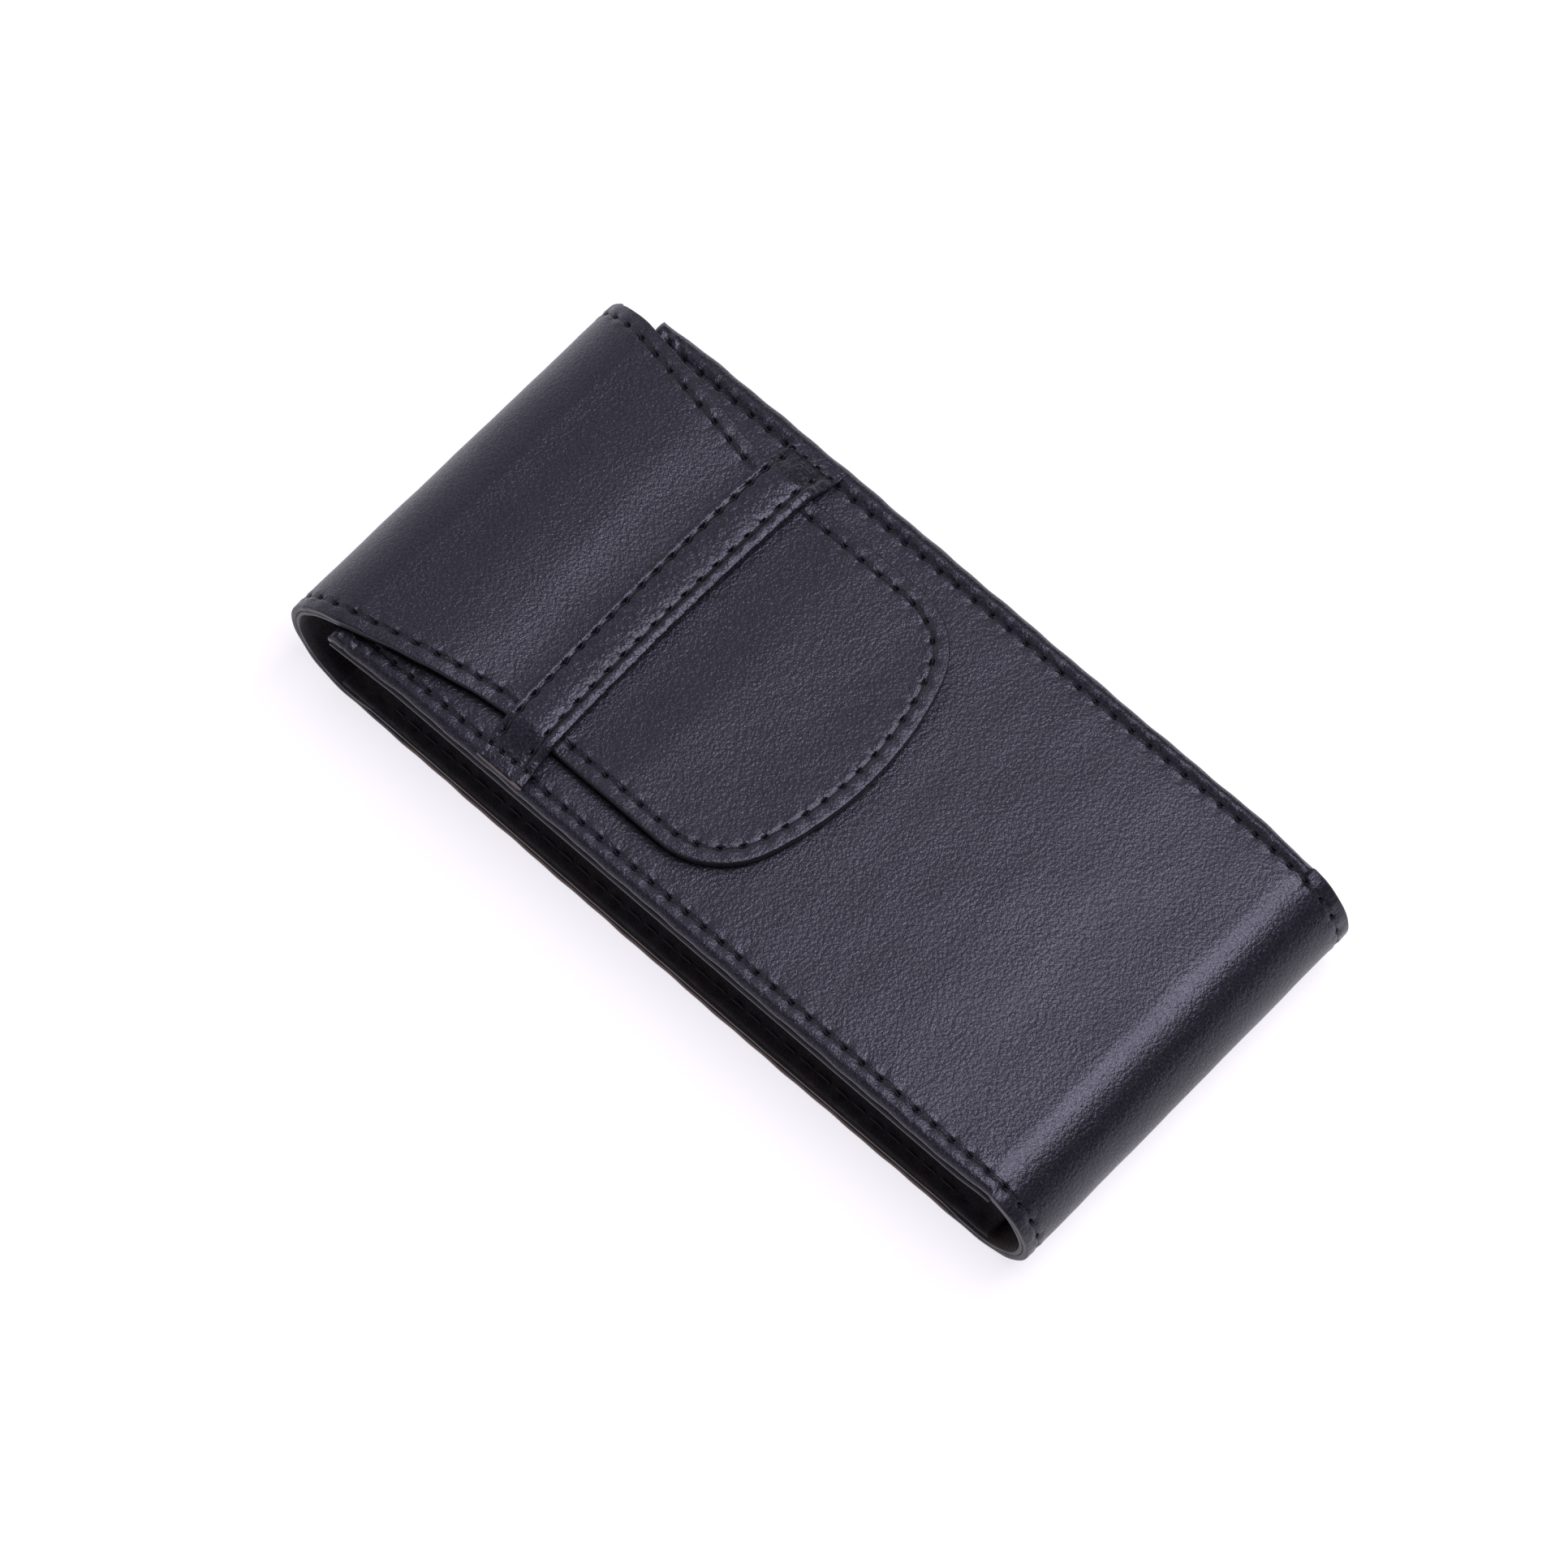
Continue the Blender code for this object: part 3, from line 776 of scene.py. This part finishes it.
def tongue_piece(name, depth_top, thickness, inset, stitched_face, materials):
    """One layer of the tongue, its top at a depth below the face and its edge inset from the outline."""
    total = SEAM_LENGTH[-1]
    t = rows_between(0.0, total, TONGUE_PHASE) if stitched_face else np.linspace(0.0, total, 161)
    point, normal = on_seam(t)
    radius = 0.34 if stitched_face else 0.15
    edge = [(FLESH_IN, thickness), (1.4, thickness), (0.3, thickness), (0.07, thickness - 0.13)]
    edge += [(radius * (1 - math.cos(a)), radius * (1 - math.sin(a))) for a in ROUND]
    columns = [(e, d, k) for (e, d), k in zip(edge, [2, 2, 1, 1, 1, 1, 0, 0, 0])]
    columns += [(e, 0.0, 0) for e in FINE]
    spine = np.stack([0 * t, np.clip(point[:, 1], 9.0, None)], -1)
    flesh = point + normal * (SEAM_IN - FLESH_IN)
    middle = point + normal * (SEAM_IN - MIDDLE_IN)
    rings = [flesh * (1 - share) + spine * share for share in np.linspace(1.0, 0.0, 12)[:-1]]
    rings += [point + normal * (SEAM_IN - e - (inset if e < 1.3 else 0.0)) for e, _, _ in columns]
    rings += [middle * (1 - share) + spine * share for share in np.linspace(0.0, 1.0, 16)[1:]]
    columns = [(FLESH_IN, thickness, 2)] * 11 + columns + [(MIDDLE_IN + i, 0.0, 0) for i in range(15)]
    plan = np.stack(rings, 1)
    e, depths, kinds = (np.array(column) for column in zip(*columns))
    depth = np.broadcast_to(depths[None, :], plan.shape[:2])
    face = np.clip(1.0 - depth / FADE_DEPTH, 0.0, 1.0)
    height = 0.0
    if stitched_face:
        height = stitched(t[:, None], e[None, :] - SEAM_IN, TONGUE_PHASE) * face
        height = height + 0.06 * ripple(plan[..., 0] + 40, plan[..., 1]) * face
    curl = 0.25 * ramp(plan[..., 1], 2.0, -10.0)
    z = FLAP_T + flap_lift(plan[..., 1]) + curl + height - depth_top - depth
    points = np.concatenate([plan, z[..., None]], -1)
    return tongue_mesh(name, points, kinds, materials)


def tongue_mesh(name, rings, kinds, materials):
    """Skin over the tongue's half sections, closed along the root."""
    count, size = rings.shape[:2]
    points = rings.reshape(-1, 3)
    i = np.arange(count - 1)[:, None] * size + np.arange(size - 1)[None, :]
    quads = np.stack([i, i + 1, i + 1 + size, i + size], -1).reshape(-1, 4)
    ids = np.broadcast_to(np.asarray(kinds[: size - 1])[None, :], (count - 1, size - 1)).reshape(-1)
    faces = quads.tolist()
    if signed_volume(points, faces) < 0:
        faces = [f[::-1] for f in faces]
    root = list(range(size)) + list(range((count - 1) * size, count * size))[::-1]
    faces.append(root)
    ids = np.concatenate([ids, [2]])
    flat = np.concatenate([np.asarray(f) for f in faces])
    uv = np.stack([S_FLAP + TOP_Y - points[flat, 1], points[flat, 0] + points[flat, 2] * 0.7], -1)
    obj = make_mesh(name, points, faces, uv, ids, materials, 1)
    merge(obj)
    return obj


def merge(obj, distance=2e-6):
    shape = bmesh.new()
    shape.from_mesh(obj.data)
    bmesh.ops.remove_doubles(shape, verts=shape.verts, dist=distance)
    bmesh.ops.recalc_face_normals(shape, faces=shape.faces)
    shape.to_mesh(obj.data)
    shape.free()


def tongue_strand(name):
    total = SEAM_LENGTH[-1]
    t = strand_rows(0.0, total, TONGUE_PHASE)
    point, _ = on_seam(t)
    up = strand_heights(t, TONGUE_PHASE) + 0.06 * ripple(point[:, 0] + 40, point[:, 1])
    z = FLAP_T + flap_lift(point[:, 1]) + 0.25 * ramp(point[:, 1], 2.0, -10.0) + up
    return tube(name, np.concatenate([point, z[:, None]], 1), THREAD_R, THREAD)


# ---- keeper strap

STRAP_PITCH = 3.6
# stations within one stitch, on the band and on its thread
STRAP_OFFSETS = (0.0, 0.14, 0.28, 0.42, 0.6, 0.9, 1.35, 1.8, 2.25, 2.7, 3.0, 3.18, 3.32, 3.46)
STRAP_THREAD_OFFSETS = (0.0, 0.2, 0.4, 0.62, 0.95, 1.4, 1.8, 2.2, 2.65, 2.98, 3.2, 3.4)
STRAP_W = STRAP_HI - STRAP_LO
# heights across the strap's width: the two rows, and the top and reach of the roll at the lower edge
ROW_LOW, ROW_HIGH = 2.45, STRAP_W - 1.5
ROLL_TOP, ROLL_OUTER, ROLL_INNER = 1.25, 1.8, 0.7
STRAP_SEAM_X = HALF_W - SEAM_IN
STRAP_END_HOLES = (1.3, 4.15, 7.0, STRAP_W - 0.9)
STRAP_T = 1.15
STRAP_LEFT, STRAP_RIGHT = -38.1, 37.9


def strap_place(x, t):
    """y at t mm up the strap's width: it bows towards the mouth where the flap pushes through it."""
    middle = 1.0 - (x / 37.0) ** 2
    low = STRAP_LO - 0.3 + 1.0 * middle + 0.2 * x / 37.0
    high = STRAP_HI - 0.8 + 0.9 * middle + 0.6 * x / 37.0
    return low + (high - low) * t / STRAP_W


def strap_under(x):
    """Height of the strap's underside: sewn down at the ends, over the flap between."""
    foot = BODY_T + 0.05 - 0.25 * ramp(np.abs(x), 36.5, 38.2)
    over = FLAP_T - 0.55 + 0.15
    return foot + (over - foot) * ramp(np.abs(x), 35.0, 29.0)


def strap_thick(x):
    """Full over the flap and at the cut left end, flattened where the right end is sewn into the side."""
    return STRAP_T - 0.75 * ramp(x, 33.2, 36.2) - 0.25 * ramp(-x, 34.0, 37.0)


def strap_dimples(x, t, along):
    """Height of the strap's face drawn down by its two long rows and the short row at each end."""
    total = 0.0
    for row in (ROW_LOW, ROW_HIGH):
        e = t - row
        total = total - 0.15 * bump(e, 0.0, 0.40)
        total = total - 0.22 * bump(e, 0.0, 1.0) * bump(along, 0.0, 0.9)
        total = total - 0.9 * needle_hole(along, e, 0.42, 0.29)
        total = total + 0.10 * bump(along, -0.5, 0.35) * bump(np.abs(e), 0.5, 0.3)
    long_rows = ramp(np.abs(x), STRAP_SEAM_X + 0.2, STRAP_SEAM_X - 0.8)
    e = np.abs(x) - STRAP_SEAM_X
    ends = -0.12 * bump(e, 0.0, 0.4)
    for t_hole in STRAP_END_HOLES:
        ends = ends - 0.75 * needle_hole(t - t_hole, e, 0.42, 0.30)
    return total * long_rows + ends


def strap_piece():
    """Folded band: plain upper border, padded middle, rolled lower edge, stitch rows either side."""
    count = int(2 * STRAP_HALF / STRAP_PITCH)
    repeats = np.arange(-count // 2 - 2, count // 2 + 2)[:, None]
    cells = (repeats * STRAP_PITCH + np.array(STRAP_OFFSETS)[None, :]).ravel()
    near = np.array([-0.6, -0.42, -0.3, -0.2, -0.1, 0.0, 0.1, 0.2, 0.3, 0.42, 0.6])
    seams = np.concatenate([-STRAP_SEAM_X + near, STRAP_SEAM_X + near])
    cut_ends = np.concatenate([np.arange(36.2, 37.8, 0.3), -np.arange(36.2, 38.0, 0.3)])
    between = cells[np.abs(cells) < STRAP_SEAM_X - 0.7]
    x = np.unique(np.round(np.concatenate([between, seams, cut_ends, [STRAP_LEFT, STRAP_RIGHT]]), 3))
    dense = np.array([0.5, 0.36, 0.24, 0.12, 0.0, -0.12, -0.24, -0.36, -0.5])
    end_holes = [hole + dense for hole in STRAP_END_HOLES]
    end_holes[0] = end_holes[0][1:-1]
    end_holes[3] = end_holes[3][2:]
    even = np.linspace(STRAP_W - 0.3, 0.2, 30)
    tops = np.concatenate([even, ROW_HIGH + dense, ROW_LOW + dense, *end_holes])
    tops = np.unique(np.round(tops[(tops > 0.15) & (tops < STRAP_W - 0.2)], 2))[::-1]
    along = to_nearest(x, STRAP_PITCH)
    scallop = scallops(along, STRAP_PITCH)
    thick = strap_thick(x)
    rolled = 0.45 + 0.55 * ramp(-x, -36.0, -28.0)
    ring, kinds = [], []

    def put(t, z, kind):
        ring.append((strap_place(x, t + 0 * x), z + 0 * x))
        kinds.append(kind)

    for t in tops:
        reach = ROLL_OUTER if t < ROLL_TOP else ROLL_INNER
        ridge = rolled * (0.74 + 0.18 * scallop) * bump(t, ROLL_TOP, reach)
        crown = 0.14 * bump(t, STRAP_W / 2, 2.6)
        border = 0.15 * bump(t, STRAP_W - 0.7, 0.55)
        slow = 0.05 * ripple(x * 1.3, t * 2.0)
        put(t, thick + strap_dimples(x, t, along) + (ridge + crown + border + slow) * thick / STRAP_T, 0)
    lip = thick + rolled * (0.46 + 0.11 * scallop)
    put(-0.02, lip, 0)
    put(-0.16, lip - 0.3 * thick, 0)
    put(-0.08, lip * 0.45, 0)
    put(0.35, lip * 0.18, 0)
    put(1.0, 0.0, 2)
    for t in np.linspace(2.0, STRAP_W - 1.0, 6):
        put(t, 0.0, 2)
    put(STRAP_W - 0.3, 0.02, 1)
    put(STRAP_W - 0.05, 0.2 * thick, 1)
    put(STRAP_W, thick * 0.5, 0)
    put(STRAP_W - 0.09, thick * 0.88, 0)
    y = np.stack([r[0] for r in ring], 1)
    z = np.stack([r[1] for r in ring], 1) + strap_under(x)[:, None]
    points = np.stack([np.broadcast_to(x[:, None], y.shape), y, z], -1)
    materials = [STRAP_LEATHER, EDGE, LINING, RAW]
    return loft("strap_leather_band", points, x + 900.0, girth(y, z), kinds, materials, 3)


def strap_strand(name, t_row):
    limit = STRAP_SEAM_X - 0.5
    count = int(2 * limit / STRAP_PITCH) // 2
    repeats = np.arange(-count - 1, count + 2)[:, None]
    cells = (repeats * STRAP_PITCH + np.array(STRAP_THREAD_OFFSETS)[None, :]).ravel()
    x = np.concatenate([[-limit], cells[np.abs(cells) < limit - 0.05], [limit]])
    face = strap_under(x) + strap_thick(x) + 0.05 * ripple(x * 1.3, t_row * 2.0)
    z = face - 0.14 - 0.75 * bump(to_nearest(x, STRAP_PITCH), 0.0, 0.4)
    return tube(name, np.stack([x, strap_place(x, t_row + 0 * x), z], -1), THREAD_R, THREAD)


def strap_end_strand(name, side):
    t = np.linspace(STRAP_END_HOLES[0], STRAP_END_HOLES[-1], 40)
    x = side * STRAP_SEAM_X + 0 * t
    along = np.min([np.abs(t - hole) for hole in STRAP_END_HOLES], axis=0)
    z = strap_under(x) + strap_thick(x) - 0.12 - 0.6 * bump(along, 0.0, 0.4)
    return tube(name, np.stack([x, strap_place(x, t), z], -1), THREAD_R, THREAD)


# ---- gussets


def rounded_path(corners, radius, step=0.5):
    """Polyline through corners with each inner corner rounded, sampled evenly."""
    corners = [np.array(c, float) for c in corners]
    out = [corners[0]]
    for before, here, after in zip(corners, corners[1:], corners[2:]):
        inward = unit(before - here)
        onward = unit(after - here)
        reach = min(radius, 0.45 * np.linalg.norm(before - here), 0.45 * np.linalg.norm(after - here))
        for share in np.linspace(0.0, 1.0, 9):
            a = here + inward * reach * (1 - share)
            b = here + onward * reach * share
            out.append(a * (1 - share) + b * share)
    out.append(corners[-1])
    out = np.array(out)
    length = run_length(out)
    even = np.linspace(0.0, length[-1], max(8, int(length[-1] / step)))
    return np.stack([np.interp(even, length, out[:, i]) for i in range(2)], -1)


GUSSET_UPPER, GUSSET_LOWER = BODY_T - 3.0, 3.0
GUSSET_FLANGE = 4.6
GUSSET_FOLD = 13.2
GUSSET_FOLD_R = 2.2
GUSSET_CORNERS = (
    (0.0, GUSSET_UPPER),
    (GUSSET_FLANGE, GUSSET_UPPER),
    (GUSSET_FOLD, BODY_T / 2),
    (GUSSET_FLANGE, GUSSET_LOWER),
    (0.4, GUSSET_LOWER),
)
GUSSET_PATH = rounded_path(GUSSET_CORNERS, GUSSET_FOLD_R)
GUSSET_LOW_Y, GUSSET_HIGH_Y = -71.6, MOUTH_Y - 0.4
GUSSET_T = 0.6


def gusset_piece(name, side):
    """Bellows side in black suede: flanges sewn to the front's and the back's edge, the fold inward."""
    middle, path = BODY_T / 2, GUSSET_PATH
    tangent = unit(np.gradient(path, axis=0))
    normal = np.stack([-tangent[:, 1], tangent[:, 0]], -1)
    ends = ramp(np.arange(len(path)), 0, 1.2) * ramp(np.arange(len(path))[::-1], 0, 1.2)
    body = 0.6 + 0.4 * ends
    y = np.append(np.arange(GUSSET_LOW_Y, GUSSET_HIGH_Y, 0.62), GUSSET_HIGH_Y)
    reach = np.clip((BOTTOM_Y - y) / BOTTOM_R, 0.0, 0.95)
    drop = BOTTOM_R - BOTTOM_R * np.sqrt(1 - reach**2)
    along = hole_offset(MOUTH_Y - y)
    rings = []
    for i in range(len(y)):
        share = (path[:, 1] - middle) / (GUSSET_UPPER - middle)
        z = path[:, 1] - share * drop[i]
        flange = bump(path[:, 0], SEAM_IN, 0.5) * (np.abs(share) > 0.8)
        dimple = 0.30 * flange * bump(along[i], 0.0, 0.75)
        swell = float(np.interp(MOUTH_Y - y[i], *SWELLS[side]))
        reach_out = (0.10 + swell) * (share > 0) * ramp(path[:, 0], 3.0, 0.0)
        slack = 0.25 * math.sin(y[i] * 0.21) * bump(path[:, 0], 9.0, 3.5)
        e = path[:, 0] + 0.15 * math.sin(y[i] * 0.13 + 1.0) * ramp(path[:, 0], 6.0, 12.0) - reach_out
        centre = np.stack([e, z + slack * 0.4 + dimple * np.sign(share)], -1)
        half_thick = normal * (GUSSET_T / 2) * body[:, None]
        loop = np.concatenate([centre + half_thick, (centre - half_thick)[::-1]])
        rings.append(np.stack([side * (HALF_W - loop[:, 0]), np.full(len(loop), y[i]), loop[:, 1]], -1))
    rings = np.array(rings)
    kinds = [1] + [0] * (rings.shape[1] - 3) + [1, 1]
    return loft(name, rings, y + 300.0, run_length(rings[0]), kinds, [GUSSET, LIP])


# ---- inner boards


def slab(name, low, high, material, radius=4.0):
    """A flat board with rounded corners and softened edges, in the box between two corners."""
    centre = (low + high) / 2
    half = (high - low) / 2
    outline = []
    for cx, cy, start in ((1, 1, 0), (-1, 1, 90), (-1, -1, 180), (1, -1, 270)):
        for angle in np.radians(np.linspace(start, start + 90, 9)):
            x = cx * (half[0] - radius) + radius * math.cos(angle)
            y = cy * (half[1] - radius) + radius * math.sin(angle)
            outline.append((x, y))
    outline = np.array(outline)
    rings = []
    for level, shrink in ((-1.0, 0.35), (-0.6, 0.08), (0.0, 0.0), (0.6, 0.08), (1.0, 0.35)):
        plan = outline * (1 - shrink / half[:2].max())
        z = np.full(len(plan), centre[2] + level * half[2])
        rings.append(np.stack([plan[:, 0] + centre[0], plan[:, 1] + centre[1], z], -1))
    along = run_length(outline)
    return loft(name, np.array(rings), np.arange(len(rings)) * 0.3, along, [0] * len(outline), [material])


# ---- assembly

SIDES = ((-1, "left"), (1, "right"))


def arc_point(s):
    y, z, _, _ = profile(np.array([s]))
    return Vector((0.0, y[0] * MM, z[0] * MM))


def bend_blend(obj, start, end):
    """Bakes the transform of a piece of the top bend into its mesh; the ends of its arc are looked up but not
    used.
    """
    a, b = arc_point(start), arc_point(end)
    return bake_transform(obj)


def add(obj, *nodes, slot=None):
    if nodes:
        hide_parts(*nodes)
    return obj


def strip_cut(start, end):
    """Flat width, length and area of the strip between two stations, in metres."""
    s = np.linspace(start, end, 200)
    widths = half_width(s, -1) + half_width(s, 1)
    area = float(np.sum((widths[1:] + widths[:-1]) / 2 * np.diff(s)))
    return (float(widths.max()) * MM, (end - start) * MM), area * MM * MM


def declare_strip(start, end):
    flat, area = strip_cut(start, end)


# label, start station, bodies at its two ends, and the CAD group it belongs to
BENDS = (
    ("lower", S_TOP, "body", "bend_lower", "bend_lower"),
    ("middle", S_TOP + ARC, "bend_lower", "bend_upper", "bend_upper"),
    ("upper", S_TOP + 2 * ARC, "bend_upper", "flap", "flap"),
)


def build_top_bend():
    """Three pieces of the top bend; the upper one replaces nothing."""
    for label, start, first, second, group in BENDS:
        for layer, maker in (("leather", leather_piece), ("lining", lining_piece)):
            piece = maker(f"top_bend_{label}_{layer}", start, start + ARC)
            node_name = f"{group}_{layer}"
            add(piece, *([node_name] if label != "upper" else []), slot=node_name)
            bend_blend(piece, start, start + ARC)
            declare_strip(start, start + ARC)
        for side, where in SIDES:
            piece = strand(f"top_bend_{label}_{where}_stitches", start, start + ARC, side)
            node_name = f"{group}_{where}_stitching"
            add(piece, *([node_name] if label != "upper" else []), slot=node_name)
            bend_blend(piece, start, start + ARC)


def build_sides():
    for side, where in SIDES:
        body_thread = strand(f"body_{where}_stitches", 1.6, S_TOP, side)
        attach(add(body_thread, f"body_{where}_stitching"), "body")
        flap_thread = strand(f"flap_{where}_stitches", S_FLAP, S_TONGUE, side)
        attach(add(flap_thread, f"flap_{where}_stitching"), "flap")
        gusset = add(gusset_piece(f"{where}_gusset_suede", side), f"{where}_gusset")
        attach(gusset, "body")


def build_tongue():
    leather = tongue_piece("tongue_leather_panel", 0.0, LEATHER_T, 0.0, True, [LEATHER, EDGE, LINING])
    add(leather, "tongue_leather")
    suede = tongue_piece("tongue_lining_suede", LINING_TOP, LINING_T, 0.12, False, [GUSSET, EDGE, GUSSET])
    add(suede, "tongue_lining")
    thread = add(tongue_strand("tongue_stitches"), "tongue_stitching")
    for piece in (leather, suede, thread):
        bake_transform(piece)


def build_strap():
    band = add(strap_piece(), "strap_leather", "strap_backing")
    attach(band, "body")
    for label, t_row in (("lower", ROW_LOW), ("upper", ROW_HIGH)):
        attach(add(strap_strand(f"strap_{label}_stitches", t_row), f"strap_{label}_stitching"), "body")
    for side, where in SIDES:
        end_thread = strap_end_strand(f"strap_{where}_end_stitches", side)
        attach(add(end_thread, f"strap_{where}_end_stitching"), "body")
        inner_thread = flange_strand(f"back_{where}_inner_stitches", side)
        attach(add(inner_thread, slot=f"body_{where}_stitching"), "body")


def build():
    body = add(leather_piece("body_leather_strip", 0.0, S_TOP), "body_leather")
    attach(body, "body")
    declare_strip(0.0, S_TOP)
    lining = add(lining_piece("body_lining_suede", LINING_START, S_TOP), "body_lining")
    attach(lining, "body")
    declare_strip(LINING_START, S_TOP)
    build_top_bend()
    build_sides()
    panel = add(leather_piece("flap_leather_panel", S_FLAP, S_TONGUE), "flap_leather")
    facing = add(lining_piece("flap_lining_suede", S_FLAP, S_TONGUE), "flap_lining")
    for piece in (panel, facing):
        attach(piece, "flap")
        declare_strip(S_FLAP, S_TONGUE)
    build_tongue()
    build_strap()
    pad_low, pad_high = node_box("front_padding")
    pad = add(slab("front_padding_felt", pad_low, pad_high, FELT), "front_padding")
    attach(pad, "body")
    card_low, card_high = node_box("back_stiffener")
    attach(add(slab("back_leatherboard", card_low, card_high, BOARD), "back_stiffener"), "body")


# ---- studio

# name, size, radiance, location, aimed at
STUDIO_LIGHTS = (
    ("overhead_soft_box", (0.8, 0.56), 8.3, (0.30, -0.21, 0.9), (0.30, -0.21, 0.0)),
    ("back_wall", (3.0, 2.0), 0.9, (0.4, 1.5, 0.9), (0.0, 0.0, 0.3)),
    ("left_wall", (2.0, 1.2), 0.6, (-1.5, 0.3, 0.6), (0.0, 0.0, 0.2)),
)
LAVENDER = (0.93, 0.88, 1.0)
FRAME_WIDTH = 1932.0
CAMERA_TARGET = Vector((0.0, 0.0, 0.011))


def aimed(name, data, location, direction):
    """An object in the scene that looks along a direction."""
    obj = bpy.data.objects.new(name, data)
    obj.location = location
    obj.rotation_mode = "QUATERNION"
    obj.rotation_quaternion = direction.to_track_quat("-Z", "Y")
    bpy.context.scene.collection.objects.link(obj)
    return obj


def area_light(name, size, radiance, location, target):
    light = bpy.data.lights.new(name, "AREA")
    light.shape = "RECTANGLE"
    light.size, light.size_y = size
    light.energy = radiance * math.pi * size[0] * size[1]
    light.color = LAVENDER
    aimed(name, light, location, Vector(target) - Vector(location))


def camera(azimuth, elevation, distance, focal, shift):
    """Angles in degrees, distance in metres; focal length and shift in 1932nds of the frame's width."""
    azimuth, elevation = math.radians(azimuth), math.radians(elevation)
    level = math.cos(elevation)
    back = Vector((math.sin(azimuth) * level, -math.cos(azimuth) * level, math.sin(elevation)))
    data = bpy.data.cameras.new("camera")
    data.sensor_width = 36.0
    data.lens = data.sensor_width * focal / FRAME_WIDTH
    data.shift_x = -shift[0] / FRAME_WIDTH
    data.shift_y = shift[1] / FRAME_WIDTH
    data.clip_start, data.clip_end = 0.05, 20.0
    bpy.context.scene.camera = aimed("camera", data, CAMERA_TARGET + back * distance, -back)


def studio():
    mesh = bpy.data.meshes.new("studio_floor")
    size = 3.0
    corners = [(-size, -size, 0), (size, -size, 0), (size, size, 0), (-size, size, 0)]
    mesh.from_pydata(corners, [], [(0, 1, 2, 3)])
    floor = bpy.data.objects.new("studio_floor", mesh)
    floor.location.z = -0.0003
    bpy.context.scene.collection.objects.link(floor)
    paper, _, shader = new_material("white_light_table", (0.30, 0.29, 0.31), 0.8)
    shader.inputs["Emission Color"].default_value = (0.97, 0.95, 1.0, 1.0)
    shader.inputs["Emission Strength"].default_value = 0.80
    mesh.materials.append(paper)
    world = bpy.context.scene.world or bpy.data.worlds.new("studio")
    bpy.context.scene.world = world
    world.use_nodes = True
    background = world.node_tree.nodes["Background"]
    background.inputs["Color"].default_value = (0.97, 0.92, 1.0, 1.0)
    background.inputs["Strength"].default_value = 0.05
    for light in STUDIO_LIGHTS:
        area_light(*light)
    settings = bpy.context.scene.view_settings
    settings.view_transform = "Standard"
    settings.look = "None"
    settings.exposure = 0.0
    settings.gamma = 1.0


build()
studio()
camera(-47.05, 65.06, 1.1615, 8984.5, (39.7, -14.2))
